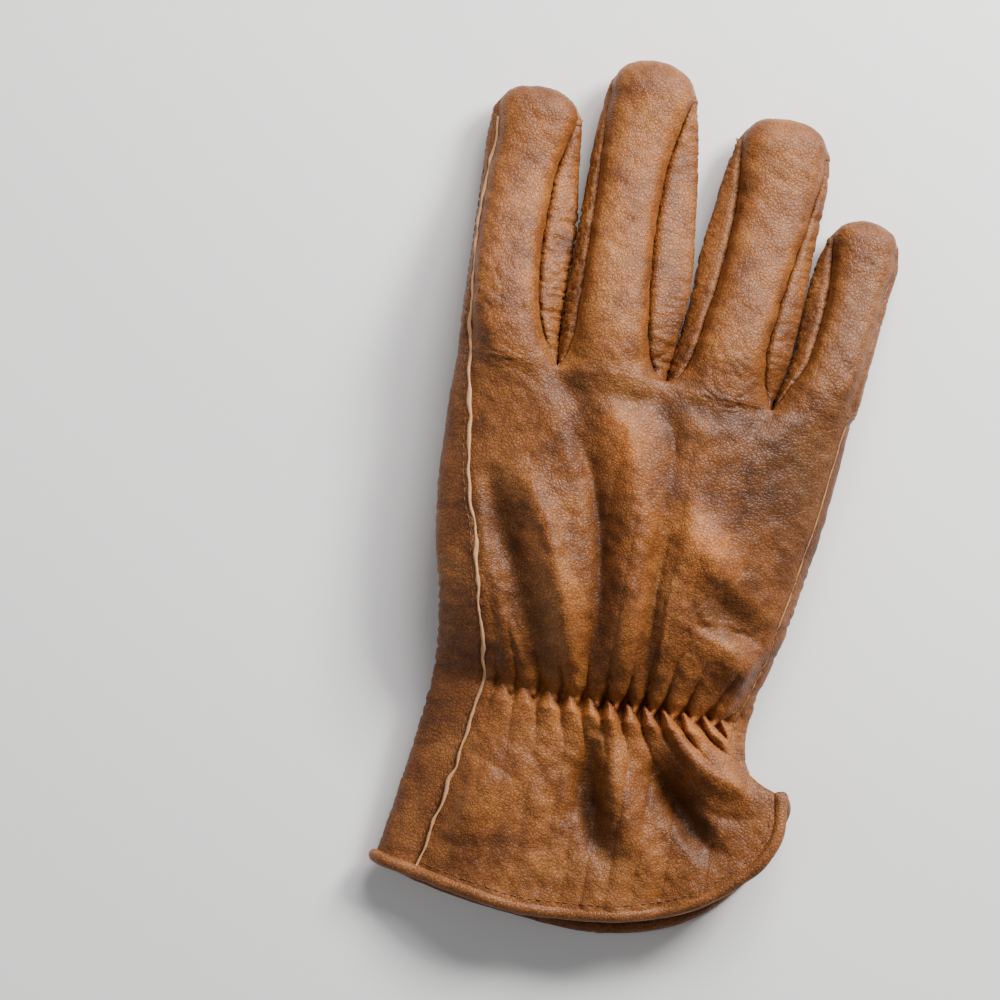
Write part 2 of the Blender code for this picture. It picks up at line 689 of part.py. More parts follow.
def palm_panel(collection, parent, cutters):
    welt = EDGE_WELT / 2 + SEAM_GAP
    surface = Surface()
    base = surface.grow(seam_inset(palm_points(), welt, SEAM_GAP / 2))
    across = np.linspace(-1, 1, FRONT_COLUMNS + 1)
    wide = FRONT_COLUMNS + SIDE_COLUMNS + 1
    for name, first, tip, left in (
        ("index", 0, SIDE_COLUMNS, welt),
        ("little", len(base) - wide, 0, SEAM_GAP / 2),
    ):
        rows = [outer_front(name, i / FINGER_ROWS) for i in range(1, FINGER_ROWS + 1)]
        strip = seam_inset(np.array(rows), left, SEAM_GAP / 2)
        last = surface.grow(strip, base[first : first + wide])
        rows = [capped(finger_front, name, across, 1.0, cap) for cap in CAPS]
        strip = seam_inset(np.array(rows).transpose(0, 2, 1), SEAM_GAP / 2, SEAM_GAP / 2)
        surface.grow(strip, last[tip : tip + FRONT_COLUMNS + 1])
    palm = new_piece("palm_panel", surface.flipped(), collection, parent)
    hole = palm.modifiers.new("Thumb hole", "BOOLEAN")
    hole.object = thumb_hole_cutter(cutters, parent)


def thumb_hole_cutter(cutters, parent):
    bpy.ops.mesh.primitive_cylinder_add(vertices=2 * THUMB_COLUMNS, radius=0.5, depth=1)
    cutter = bpy.context.object
    cutter.name = "thumb_hole_cutter"
    cutter.scale = (THUMB_HOLE_WIDTH, THUMB_HOLE_LENGTH, 2 * PALM_HEIGHT)
    bpy.ops.object.transform_apply(location=False, rotation=False, scale=True)
    cutter.location = (THUMB_HOLE_X, THUMB_HOLE_Y, PALM_HEIGHT)
    for home in list(cutter.users_collection):
        home.objects.unlink(cutter)
    cutters.objects.link(cutter)
    cutter.parent = parent
    cutter.hide_render = True
    cutter.display_type = "WIRE"
    return cutter


def plain_front(name, collection, parent):
    """Underside of the middle or ring finger, from the welt at its base to its tip."""
    across = np.linspace(-1, 1, FRONT_COLUMNS + 1)
    start = (BASE_WELT / 2 + SEAM_GAP) / FINGER_LENGTH[name]
    alongs = np.linspace(start, 1, FINGER_ROWS + 1)
    rows = [capped(finger_front, name, across, along, 0.0) for along in alongs]
    rows += [capped(finger_front, name, across, 1.0, cap) for cap in CAPS]
    surface = Surface()
    surface.grow(seam_inset(np.array(rows).transpose(0, 2, 1), SEAM_GAP / 2, SEAM_GAP / 2))
    new_piece(name + "_front", surface.flipped(), collection, parent)


def fourchette_arm(name, side, alongs):
    """Rows of the strip along one side of a finger, from the back's seam to the palm's."""
    down = np.linspace(0, 1, SIDE_COLUMNS + 2)
    pull = FINGER_SLIT / 2 * (1 if side == "left" else -1)
    rows = []
    for along in alongs:
        y, (left, left_seam, right_seam, right) = finger_plan(name, along)
        seam, edge = (left_seam, left) if side == "left" else (right_seam, right)
        high = seam_height(name, side, along, "back") - SEAM_DROP
        low = seam_height(name, side, along, "front") + SEAM_DROP
        top = (seam + pull, y, high)
        foot = (mix(seam, edge, 0.5) + pull, y, low)
        rows.append(np.array(side_wall(top, edge + pull, foot, down, 0.8)).T)
    return np.array(rows)


def fourchette(i, collection, parent):
    """The strip between two fingers: up one finger's side, round the crotch and up the other's."""
    left, right = NAMES[i], NAMES[i + 1]
    alongs = np.linspace(0, 1, ARM_ROWS + 1)[1:] ** 1.6
    alongs = np.insert(alongs, 0, 0.012)
    x, y, back, palm = crotch(i)
    down = np.linspace(0, 1, SIDE_COLUMNS + 2)
    heights = mix(back - SEAM_DROP, palm + SEAM_DROP, down)
    turn = np.array([x + 0 * down, y + 0 * down, heights]).T
    points = np.vstack([
        fourchette_arm(left, "right", alongs[::-1]),
        turn[None],
        fourchette_arm(right, "left", alongs),
    ])
    surface = Surface()
    surface.grow(points)
    new_piece(f"fourchette_{left}_{right}", surface, collection, parent)


def thumb_plan(along):
    left, right = read(THUMB_OUTLINE, along) * THUMB_WIDTH + THUMB_HOLE_X
    return left, right, THUMB_START + along * THUMB_LENGTH


def thumb_section(across, along, cap, face):
    """A half of the thumb's section under the palm, flattened where it lies on the ground."""
    left, right, y = thumb_plan(along)
    middle = THUMB_DEPTH / 2
    reach = THUMB_OUTLINE[-1][0]
    wide = np.sin(across * np.pi / 2)
    tall = np.cos(across * np.pi / 2) ** 0.7
    x = mix(left, right, (1 + wide) / 2)
    turn = min(cap, 1) * np.pi / 2
    y = y + (1 - reach) * THUMB_LENGTH * np.sqrt(1 - (0.96 * wide) ** 2) * np.sin(turn)
    edge = SEAM_GAP / 2
    rim = 0 if cap > 1 else TIP_RIM * (np.abs(across) < 1)
    if face == "outer":
        z = np.maximum(middle - edge - rim - (middle + THUMB_FLATTENING) * tall * np.cos(turn), 0)
    else:
        z = middle + edge + rim + (middle - THUMB_CLEARANCE) * tall * np.cos(turn)
    return np.array([x, y + 0 * x, z])


def thumb_half(face, collection, parent):
    """From the hole in the palm, down and forward under it, to the tip."""
    across = np.linspace(-1, 1, THUMB_COLUMNS + 1)
    across = np.insert(across, (1, THUMB_COLUMNS), (-0.999, 0.999))
    sign = -1 if face == "outer" else 1
    angle = (0.992 * across - 1) * np.pi / 2
    x = THUMB_HOLE_X + (THUMB_HOLE_WIDTH / 2 - SEAM_GAP) * np.cos(angle)
    y = THUMB_HOLE_Y - sign * (THUMB_HOLE_LENGTH / 2 - SEAM_GAP) * np.sin(angle)
    palm = np.array([hand_palm(px, py / HAND_LENGTH) for px, py in zip(x, y)])
    rows = [np.array([x, y, palm + LEATHER]), np.array([x, y, palm - SEAM_GAP])]
    first = thumb_section(across, THUMB_OUTLINE[0][0], 0, face)
    rim = rows[1]
    ahead = first[1] - rim[1]
    bulge = (face == "outer") * THUMB_BULGE * np.cos(across * np.pi / 2)
    down = rim - (0 * x, bulge, 0.7 * (rim[2] - first[2]))
    back = first - (0 * x, 0.75 * ahead, 0 * x)
    for i in range(1, THUMB_BEND_ROWS):
        t = (i / THUMB_BEND_ROWS) ** 1.2
        start = rim * (1 - t) ** 3 + 3 * down * t * (1 - t) ** 2
        rows.append(start + 3 * back * t * t * (1 - t) + first * t**3)
    alongs = np.linspace(THUMB_OUTLINE[0][0], THUMB_OUTLINE[-1][0], THUMB_ROWS + 1)
    rows += [thumb_section(across, along, 0, face) for along in alongs]
    rows += [thumb_section(across, alongs[-1], cap, face) for cap in CAPS]
    points = np.array(rows).transpose(0, 2, 1)
    for row in points[2:]:
        for point in row:
            roof = hand_palm(point[0], point[1] / HAND_LENGTH) - THUMB_CLEARANCE
            point[2] = max(0, min(point[2], roof))
    surface = Surface()
    surface.grow(points)
    if face == "outer":
        surface.flipped()
    new_piece("thumb_" + face, surface, collection, parent)


def cord(name, points, thickness, closed, collection, parent):
    """A round strip along a path."""
    curve = bpy.data.curves.new(name, "CURVE")
    curve.dimensions = "3D"
    curve.bevel_depth = thickness / 2
    curve.bevel_resolution = 1 if thickness < HEM_BEAD else 2
    curve.use_fill_caps = not closed
    line = curve.splines.new("POLY")
    line.points.add(len(points) - 1)
    for spot, point in zip(line.points, points):
        spot.co = (*point, 1)
    line.use_cyclic_u = closed
    strip = bpy.data.objects.new(name, curve)
    collection.objects.link(strip)
    strip.parent = parent
    curve.materials.append(leather(name))


def cuff_binding(collection, parent):
    back = np.array(hem_point(BACK_HEM, np.linspace(0, 1, 22) ** 0.8)).T
    palm = np.array(hem_point(PALM_HEM, np.linspace(1, 0, 24)[1:-1])).T
    cord("cuff_binding", np.vstack([back, palm]), HEM_BEAD, True, collection, parent)


def thumb_side_welt(collection, parent):
    """Along the left seam, from the hem to the tip of the index finger."""
    base = back_points()[:, 0]
    strip = finger_strip(finger_back, "index")[: FINGER_ROWS + 1, 0]
    line = np.vstack([base, strip])
    line[:, 0] -= EDGE_WELT / 8
    cord("thumb_side_welt", line, EDGE_WELT, False, collection, parent)


def finger_base_welt(collection, parent):
    """Across the undersides of the middle and ring fingers, where they meet the palm."""
    ends = 0.8 / len(NAMES) / FRONT_COLUMNS
    flat = np.linspace(1 / len(NAMES) + ends, 3 / len(NAMES) - ends, 13)
    x, y, z = palm_base(flat)
    z = z + LEATHER / 2 - (BASE_WELT - LEATHER) / 2
    cord("finger_base_welt", np.array([x, y, z]).T, BASE_WELT, False, collection, parent)


def main():
    for old in list(bpy.data.objects):
        bpy.data.objects.remove(old, do_unlink=True)
    parts = bpy.data.collections.new("leather_work_glove")
    cutters = bpy.data.collections.new("cutters")
    for collection in (parts, cutters):
        bpy.context.scene.collection.children.link(collection)
    origin = bpy.data.objects.new("glove_origin", None)
    origin.location = (-THUMB_HOLE_X, -THUMB_START - 0.55 * THUMB_LENGTH, 0)
    parts.objects.link(origin)
    back_panel(parts, origin)
    palm_panel(parts, origin, cutters)
    for name in ("middle", "ring"):
        plain_front(name, parts, origin)
    for i in range(len(CROTCH)):
        fourchette(i, parts, origin)
    thumb_half("outer", parts, origin)
    thumb_half("inner", parts, origin)
    cuff_binding(parts, origin)
    thumb_side_welt(parts, origin)
    finger_base_welt(parts, origin)


main()
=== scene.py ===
"""Leather work glove, right hand, lying on its palm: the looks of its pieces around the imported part.

Metres, in the row's frame: +Y along the hand to the fingertips, +X to the little finger, +Z up out of
the back. The plan is laid out from the wrist, and ORIGIN carries it into the row's frame. The tables of
the hand, fingers, hem and thumb are shares of the named sizes, as in the part.
"""

import math
from functools import partial

import bpy
import numpy as np
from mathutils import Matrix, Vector
from mathutils.bvhtree import BVHTree


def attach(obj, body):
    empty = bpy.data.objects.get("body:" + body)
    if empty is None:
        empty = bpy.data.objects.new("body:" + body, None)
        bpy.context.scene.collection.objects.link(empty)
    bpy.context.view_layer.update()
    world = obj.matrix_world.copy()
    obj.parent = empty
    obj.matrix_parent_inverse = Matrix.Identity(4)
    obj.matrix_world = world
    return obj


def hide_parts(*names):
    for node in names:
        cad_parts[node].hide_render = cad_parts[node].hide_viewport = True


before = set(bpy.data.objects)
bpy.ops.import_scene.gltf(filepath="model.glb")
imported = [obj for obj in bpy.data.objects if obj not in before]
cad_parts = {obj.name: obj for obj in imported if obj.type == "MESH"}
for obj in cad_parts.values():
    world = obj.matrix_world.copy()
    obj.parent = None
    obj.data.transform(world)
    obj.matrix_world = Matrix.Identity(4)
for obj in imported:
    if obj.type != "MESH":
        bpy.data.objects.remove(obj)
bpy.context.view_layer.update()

# Driving dimensions, in metres
FINGER_WIDTH = {"index": 0.0300, "middle": 0.0325, "ring": 0.0320, "little": 0.0253}
FINGER_LENGTH = {"index": 0.0815, "middle": 0.0947, "ring": 0.0845, "little": 0.0588}
FINGER_DEPTH = 0.0195
HAND_LENGTH = 0.0945
HAND_DEPTH = 0.0205
CUFF_LENGTH = 0.0690
CUFF_DEPTH = 0.0160
PALM_HEIGHT = 0.0134
LEATHER = 0.0013
HEM_BEAD = 0.0038
BASE_WELT = 0.0020
THUMB_LENGTH = 0.1070
THUMB_WIDTH = 0.0550
THUMB_DEPTH = 0.0126
THUMB_HOLE_WIDTH = 0.0400
THUMB_HOLE_LENGTH = 0.0440
THUMB_CLEARANCE = 0.0012
THUMB_FLATTENING = 0.0008
THUMB_BULGE = 0.0040

NAMES = ("index", "middle", "ring", "little")
PALM_WIDTH = sum(FINGER_WIDTH.values())
TIP_RIM = 0.15 * LEATHER
FOOT_INSET = 0.065 * PALM_WIDTH
THUMB_HOLE_X = -0.200 * PALM_WIDTH
THUMB_HOLE_Y = 0.305 * HAND_LENGTH
THUMB_START = THUMB_HOLE_Y - THUMB_HOLE_LENGTH / 2

# Outline of the hand in plan.
# along: share of HAND_LENGTH from the wrist. The rest: shares of PALM_WIDTH from the middle.
HAND_OUTLINE = (
    # along, left_edge, left_seam, right_seam, right_edge
    (0.00, -0.418, -0.294, 0.338, 0.371),
    (0.12, -0.425, -0.311, 0.366, 0.386),
    (0.22, -0.437, -0.338, 0.388, 0.405),
    (0.33, -0.455, -0.354, 0.401, 0.426),
    (0.43, -0.473, -0.374, 0.417, 0.438),
    (0.54, -0.485, -0.401, 0.430, 0.452),
    (0.75, -0.497, -0.442, 0.462, 0.477),
    (1.00, -0.500, -0.468, 0.479, 0.500),
)

# Heights of the hand's section.
# back: share of HAND_DEPTH above the palm. left_fold, right_fold: the same, of the two side folds.
# palm: share of PALM_HEIGHT above the ground, over the thumb. heel: the same, beside it.
HAND_HEIGHTS = (
    # along, back, left_fold, right_fold, palm, heel
    (0.00, 0.68, 0.36, 0.40, 0.36, 0.22),
    (0.12, 0.84, 0.36, 0.42, 0.74, 0.32),
    (0.25, 0.92, 0.38, 0.44, 1.00, 0.42),
    (0.50, 1.00, 0.42, 0.46, 1.00, 0.50),
    (0.75, 0.98, 0.44, 0.46, 1.00, 0.54),
    (1.00, 0.95, 0.46, 0.46, 1.02, 0.58),
)

# Hem line, through the middle of its bead.
# across: share of the way from one side seam to the other. x: share of PALM_WIDTH.
# y: share of CUFF_LENGTH beyond the wrist. z: share of CUFF_DEPTH above the lowest bead.
BACK_HEM = (
    # across, x, y, z
    (0.00, -0.378, -0.866, 0.62),
    (0.13, -0.259, -0.901, 0.92),
    (0.27, -0.125, -0.933, 1.00),
    (0.40, 0.000, -0.926, 0.88),
    (0.53, 0.125, -0.900, 1.00),
    (0.65, 0.245, -0.845, 0.84),
    (0.76, 0.326, -0.775, 1.00),
    (0.86, 0.405, -0.664, 1.04),
    (0.92, 0.461, -0.554, 1.04),
    (0.965, 0.487, -0.416, 1.00),
    (1.00, 0.478, -0.272, 0.90),
)
PALM_HEM = (
    # across, x, y, z
    (0.00, -0.378, -0.866, 0.62),
    (0.05, -0.452, -0.845, 0.56),
    (0.10, -0.484, -0.833, 0.28),
    (0.15, -0.440, -0.855, 0.02),
    (0.22, -0.330, -0.905, 0.00),
    (0.35, -0.125, -0.957, 0.00),
    (0.48, 0.083, -0.975, 0.00),
    (0.60, 0.250, -0.907, 0.00),
    (0.70, 0.350, -0.800, 0.00),
    (0.79, 0.425, -0.655, 0.02),
    (0.86, 0.468, -0.520, 0.08),
    (0.91, 0.488, -0.420, 0.22),
    (0.95, 0.496, -0.340, 0.48),
    (1.00, 0.478, -0.272, 0.90),
)

# Outline of each finger in plan.
# along: share of FINGER_LENGTH from its base. The rest: shares of FINGER_WIDTH from its left corner.
FINGER_OUTLINE = {
    # along, left_edge, left_seam, right_seam, right_edge
    "index": (
        (0.00, 0.000, 0.128, 1.000, 1.000),
        (0.12, -0.010, 0.085, 0.800, 0.957),
        (0.30, -0.023, 0.025, 0.680, 0.943),
        (0.55, -0.043, -0.010, 0.650, 0.943),
        (0.69, -0.063, 0.003, 0.663, 0.890),
        (0.82, -0.077, 0.020, 0.735, 0.855),
        (0.90, -0.060, -0.020, 0.790, 0.830),
    ),
    "middle": (
        (0.00, 0.000, 0.000, 1.000, 1.000),
        (0.025, -0.004, 0.040, 0.895, 1.000),
        (0.06, -0.008, 0.078, 0.825, 1.002),
        (0.12, -0.015, 0.095, 0.780, 1.010),
        (0.28, -0.018, 0.095, 0.710, 1.055),
        (0.49, -0.020, 0.090, 0.668, 1.015),
        (0.70, -0.022, 0.065, 0.690, 0.950),
        (0.83, 0.000, 0.052, 0.766, 0.890),
        (0.89, 0.020, 0.055, 0.810, 0.850),
    ),
    "ring": (
        (0.00, 0.000, 0.000, 1.000, 1.000),
        (0.03, 0.006, 0.100, 0.955, 1.008),
        (0.07, 0.020, 0.155, 0.905, 1.030),
        (0.14, 0.048, 0.200, 0.870, 1.065),
        (0.31, 0.100, 0.278, 0.900, 1.105),
        (0.49, 0.118, 0.337, 0.975, 1.130),
        (0.67, 0.175, 0.362, 1.053, 1.162),
        (0.81, 0.219, 0.337, 1.110, 1.172),
        (0.88, 0.262, 0.315, 1.110, 1.150),
    ),
    "little": (
        (0.00, 0.000, 0.000, 0.902, 1.000),
        (0.20, 0.138, 0.290, 0.964, 1.043),
        (0.45, 0.180, 0.403, 1.036, 1.103),
        (0.66, 0.214, 0.427, 1.099, 1.162),
        (0.80, 0.269, 0.403, 1.150, 1.200),
        (0.87, 0.330, 0.380, 1.130, 1.170),
    ),
}

# Where the fingers leave the hand.
# palm: height of the underside, as a share of PALM_HEIGHT. depth: share of FINGER_DEPTH.
# cap: share of FINGER_LENGTH left for the round tip.
FINGER_BASE = {
    # name: (palm, depth, cap)
    "index": (1.02, 1.00, 0.12),
    "middle": (1.02, 1.02, 0.12),
    "ring": (0.84, 1.00, 0.13),
    "little": (0.62, 0.94, 0.15),
}
# At each crotch: how far it lies past the base line, below the fingers' crests and above their
# undersides, as shares of FINGER_DEPTH.
CROTCH = (
    # forward, valley, rise
    (0.00, 0.30, 0.16),
    (0.05, 0.30, 0.16),
    (-0.10, 0.30, 0.16),
)

# Depth along a finger.
FINGER_SHAPE = (
    # along, depth, seam, lift
    (0.00, 1.00, 0.50, 1.00),
    (0.15, 0.99, 0.50, 0.98),
    (0.35, 0.97, 0.50, 0.78),
    (0.60, 0.95, 0.48, 0.38),
    (0.80, 0.92, 0.44, 0.10),
    (1.00, 0.86, 0.36, 0.00),
)

# Outline of the thumb in plan, under the palm.
# along: share of THUMB_LENGTH from the wrist side of its hole.
# left, right: shares of THUMB_WIDTH from the middle of the hole.
THUMB_OUTLINE = (
    # along, left, right
    (0.50, -0.535, 0.455),
    (0.65, -0.473, 0.464),
    (0.79, -0.364, 0.464),
    (0.88, -0.264, 0.450),
    (0.93, -0.190, 0.410),
)

# Folds of the back, as soft ridges and valleys along a path of three points.
# x: shares of PALM_WIDTH, y: shares of HAND_LENGTH from the wrist, negative on the cuff.
# width: share of PALM_WIDTH. height: share of HAND_DEPTH, negative for a valley.
FOLDS = (
    # x_start, y_start, x_mid, y_mid, x_end, y_end, width, height
    (-0.370, 0.610, -0.270, 0.350, -0.140, 0.050, 0.038, -0.13),
    (-0.290, 0.650, -0.180, 0.430, -0.085, 0.040, 0.036, 0.12),
    (-0.205, 0.930, -0.085, 0.560, -0.025, 0.060, 0.036, -0.10),
    (-0.070, 0.860, 0.010, 0.560, 0.025, 0.070, 0.042, 0.10),
    (0.090, 0.640, 0.085, 0.350, 0.100, 0.050, 0.034, -0.10),
    (0.130, 0.600, 0.190, 0.500, 0.250, 0.420, 0.060, 0.12),
    (0.210, 0.390, 0.270, 0.330, 0.320, 0.280, 0.042, -0.12),
    (0.270, 0.240, 0.320, 0.180, 0.370, 0.140, 0.050, 0.12),
    (-0.100, 0.930, 0.040, 0.900, 0.075, 0.730, 0.030, -0.06),
    (0.170, -0.200, 0.245, -0.300, 0.315, -0.400, 0.034, -0.26),
    (0.200, -0.050, 0.290, -0.160, 0.420, -0.185, 0.040, 0.16),
    (0.008, -0.120, 0.010, -0.300, 0.070, -0.480, 0.032, -0.18),
    (-0.230, -0.260, -0.270, -0.380, -0.310, -0.520, 0.060, 0.12),
    (0.020, -0.090, 0.070, -0.250, 0.190, -0.500, 0.045, 0.12),
)
FOLD_STRENGTH = 1.5
FINE_STRENGTH = 1.6
MM = 0.001
SEAM_ROLL = 0.9 * MM
# The row's origin lies on the thumb, this share of its length from its start.
ORIGIN = np.array([-THUMB_HOLE_X, -THUMB_START - 0.55 * THUMB_LENGTH, 0])

# Number of faces across or along each piece
BACK_COLUMNS = 50
FRONT_COLUMNS = 16
SIDE_COLUMNS = 22
STRIP_COLUMNS = 22
CUFF_ROWS = 118
HAND_ROWS = 156
FINGER_ROWS = 112
CAP_ROWS = 20
THUMB_COLUMNS = 56
THUMB_BEND_ROWS = 40
THUMB_ROWS = 60
HEM_POINTS = 260
COARSE = 4

# Waves that add up to a random field
WAVES = 22

# Where the elastic pinches the back into petals, in millimetres from the middle of the wrist.
# lean: how far a petal leans to the right for each millimetre below the line. curl: for its square.
# splay: how far a ridge above the line leans for each millimetre up. tall: height of the petal.
PETALS = (
    # x, lean, curl, splay, tall
    (-35.5, -0.10, 0.000, -0.30, 0.3),
    (-29.5, 0.10, 0.000, -0.34, 0.6),
    (-23.0, 0.05, 0.000, -0.40, 0.9),
    (-16.0, 0.25, 0.000, -0.42, 1.3),
    (-9.7, 0.28, 0.000, -0.34, 1.4),
    (-3.8, 0.30, 0.000, -0.14, 1.5),
    (1.8, 0.32, 0.000, -0.06, 1.9),
    (7.5, 0.38, 0.004, 0.00, 1.7),
    (12.8, 0.42, 0.008, 0.02, 1.8),
    (18.2, 0.50, 0.020, 0.10, 2.0),
    (24.2, 0.55, 0.045, 0.22, 1.8),
    (30.3, 0.60, 0.060, 0.45, 1.5),
    (35.5, 0.60, 0.060, 0.70, 1.1),
    (41.0, 0.60, 0.060, 0.80, 0.3),
)

# Finer folds of the back, in millimetres from the middle of the wrist.
# width and height in millimetres, a valley's height is negative.
FINE_FOLDS = (
    # x_start, y_start, x_mid, y_mid, x_end, y_end, width, height
    (-49, 52, -40, 30, -31, 6, 1.6, -0.5),
    (-38, 40, -33, 28, -25, 8, 1.5, 0.5),
    (-34, 32, -30, 20, -22, 7, 1.3, -0.7),
    (-24, 78, -10, 52, -5, 8, 1.8, -0.9),
    (11, 52, 10, 30, 12, 8, 1.3, -0.8),
    (14, 40, 14, 25, 15, 8, 1.2, 0.5),
    (7, 40, 7, 22, 6, 6, 1.4, 0.6),
    (-10, 89, 5, 83, 9, 66, 1.3, -0.5),
    (22, 31, 30, 25, 45, 29, 1.6, -0.6),
    (24, 26, 32, 27, 44, 24, 1.2, -0.5),
    (-42, 91, -20, 89, 0, 92, 3.5, -0.7),
    (0, 92, 18, 89, 36, 90, 3.0, -0.8),
    (16, 93, 25, 92, 33, 92.5, 0.9, -0.5),
    (-8, -20, -3, -26, -5, -40, 2.2, -0.6),
    (-20, -20, -16, -30, -12, -38, 3.0, 0.6),
    (28, -30, 36, -36, 48, -40, 1.8, -0.4),
    (30, -22, 40, -28, 52, -26, 1.8, -0.5),
)

# Patches that darken or lighten the leather's colour, in millimetres from the middle of the wrist. Some
# are painted light and shade: painted shade in the valley below the knuckles, painted highlights on two
# bulges of the back and painted light over the shaded petals at the wrist. The others make parts of the
# glove darker or lighter.
SHADE_AND_TONE_PATCHES = (
    # x, y, radius_x, radius_y, tone
    # Painted shade in the valley below the knuckles
    (-8, 90, 45, 7, -0.30),
    (41, 72, 20, 24, -0.58),
    (32, 33, 14, 9, -0.18),
    (-30, 55, 9, 20, -0.14),
    (-45, 20, 10, 45, -0.08),
    (-45, -20, 12, 30, -0.05),
    (30, -35, 16, 10, -0.16),
    (6, -45, 9, 10, -0.16),
    (-25, -10, 12, 12, 0.06),
    (-42, 140, 12, 40, 0.14),
    (-15, 145, 14, 45, 0.14),
    (22, 140, 14, 42, -0.05),
    (54, 125, 13, 36, -0.28),
    # Painted highlights on two bulges of the back
    (-8, 74, 10, 15, 0.55),
    (22, 50, 12, 9, 0.60),
    # Painted light over the shaded petals at the wrist
    (3, -2, 42, 7, 0.62),
    (-28, 40, 7, 16, 0.08),
)


def read(table, at):
    """Smooth curve through a table's rows, read at the values of its first column."""
    rows = np.array(table)
    keys, values = rows[:, 0], rows[:, 1:]
    slopes = np.gradient(values, keys, axis=0)
    at = np.clip(np.asarray(at, float), keys[0], keys[-1])
    i = np.clip(np.searchsorted(keys, at) - 1, 0, len(keys) - 2)
    span = (keys[i + 1] - keys[i])[..., None]
    t = (at[..., None] - keys[i][..., None]) / span
    start = values[i] * (1 + 2 * t) * (1 - t) ** 2 + slopes[i] * span * t * (1 - t) ** 2
    end = values[i + 1] * t * t * (3 - 2 * t) - slopes[i + 1] * span * t * t * (1 - t)
    return np.moveaxis(start + end, -1, 0)


def step(low, high, at):
    """Smooth step from 0 at low to 1 at high."""
    t = np.clip((np.asarray(at, float) - low) / (high - low), 0, 1)
    return t * t * (3 - 2 * t)


def mix(a, b, share):
    return a + (b - a) * share


def finger_left(name):
    """x of a finger's left corner on the base line."""
    before = [FINGER_WIDTH[other] for other in NAMES[: NAMES.index(name)]]
    return -PALM_WIDTH / 2 + sum(before)


def crotch(i):
    """The point between finger i and finger i + 1, on the back and on the palm."""
    forward, valley, rise = CROTCH[i]
    left, right = NAMES[i], NAMES[i + 1]
    x = finger_left(right)
    y = HAND_LENGTH + forward * FINGER_DEPTH
    top, floor = (sum(finger_heights(name, 0)[k] for name in (left, right)) / 2 for k in (0, 1))
    return x, y, top - valley * FINGER_DEPTH, floor + rise * FINGER_DEPTH


def finger_heights(name, along):
    """Crest, underside and the two seam heights of a finger."""
    palm, deep, _ = FINGER_BASE[name]
    depth, seam, lift = read(FINGER_SHAPE, along)
    low = palm * PALM_HEIGHT * lift
    high = low + depth * deep * FINGER_DEPTH
    middle = (low + high) / 2
    reach = seam * (high - low) / 2
    return high, low, middle + reach, middle - reach


def finger_plan(name, along):
    """y, the two edges and the two seams of a finger at shares of its length."""
    cap = FINGER_BASE[name][2]
    shares = read(FINGER_OUTLINE[name], np.asarray(along) * (1 - cap))
    x = finger_left(name) + shares * FINGER_WIDTH[name]
    y = HAND_LENGTH + np.asarray(along) * (1 - cap) * FINGER_LENGTH[name]
    return y, x


def base_line(x):
    """y of the line through the crotches, where the fingers leave the hand."""
    knots = [-PALM_WIDTH / 2] + [crotch(i)[0] for i in range(3)] + [PALM_WIDTH / 2]
    lines = [HAND_LENGTH] + [crotch(i)[1] for i in range(3)] + [HAND_LENGTH]
    return np.interp(x, knots, lines)


def seam_height(name, side, along, face):
    """Height of a finger's seam. At the base it meets the crotch or the hand's side fold."""
    back_high, front_low, back_seam, front_seam = finger_heights(name, along)
    place = NAMES.index(name) - (1 if side == "left" else 0)
    free = back_seam if face == "back" else front_seam
    if 0 <= place <= 2:
        base = crotch(place)[2 if face == "back" else 3]
    elif face == "back":
        base = hand_back(base_seam_x(side), 1.0)
    else:
        base = free
    return mix(base, free, step(0.0, 0.22, along))


def base_seam_x(side):
    """x of the hand's side seam on the base line."""
    outline = read(HAND_OUTLINE, 1.0) * PALM_WIDTH
    return outline[1] if side == "left" else outline[2]


def hand_section(along):
    """Edges in plan and the heights of the hand's section."""
    left, left_seam, right_seam, right = read(HAND_OUTLINE, along) * PALM_WIDTH
    back, left_fold, right_fold, palm, heel = read(HAND_HEIGHTS, along)
    low = palm * PALM_HEIGHT
    heel = heel * PALM_HEIGHT
    section = {"left": left, "left_seam": left_seam, "right_seam": right_seam, "right": right}
    section |= {"back": low + back * HAND_DEPTH, "palm": low, "heel": heel}
    folded = {"left_fold": low + left_fold * HAND_DEPTH, "right_fold": heel + right_fold * HAND_DEPTH}
    return section | folded


def over_hand(x, s):
    """Where x lies between the hand's edges, from -1 to 1."""
    return np.clip((2 * x - s["left"] - s["right"]) / (s["right"] - s["left"]), -1, 1)


def hand_back(x, along):
    """Height of the back of the hand, before its folds."""
    s = hand_section(along)
    u = over_hand(x, s)
    side = mix(s["left_fold"], s["right_fold"], (1 + u) / 2)
    crown = (1 - np.abs(u) ** 2.8) ** 0.55
    tilt = 1 - 0.10 * step(-0.1, 1.0, u)
    return side + (s["back"] * tilt - side) * crown


def hand_palm(x, along):
    """Height of the outside of the palm."""
    s = hand_section(along)
    u = over_hand(x, s)
    flat = mix(s["palm"], s["heel"], step(0.15, 0.95, u))
    return flat + 0.10 * HAND_DEPTH * np.abs(u) ** 6


def seamed(name, face, x, y, z, across, along):
    """A finger's face bent from its middle's height to its seams', and its base to the base line."""
    sides = [seam_height(name, side, along, face) for side in ("left", "right")]
    side = np.where(across < 0, sides[0], sides[1])
    z = z + (side - z) * np.abs(across) ** 2.6
    return x, y + (base_line(x) - HAND_LENGTH) * (1 - step(0, 0.15, along)), z


def finger_back(name, across, along):
    """A finger's back from seam to seam: across runs from -1 to 1."""
    y, (_, left_seam, right_seam, _) = finger_plan(name, along)
    high = finger_heights(name, along)[0]
    round_ = 0.45 * step(0.0, 0.3, along)
    spread = mix(across, np.sin(across * np.pi / 2), round_)
    x = mix(left_seam, right_seam, (1 + spread) / 2)
    return seamed(name, "back", x, y, high, across, along)


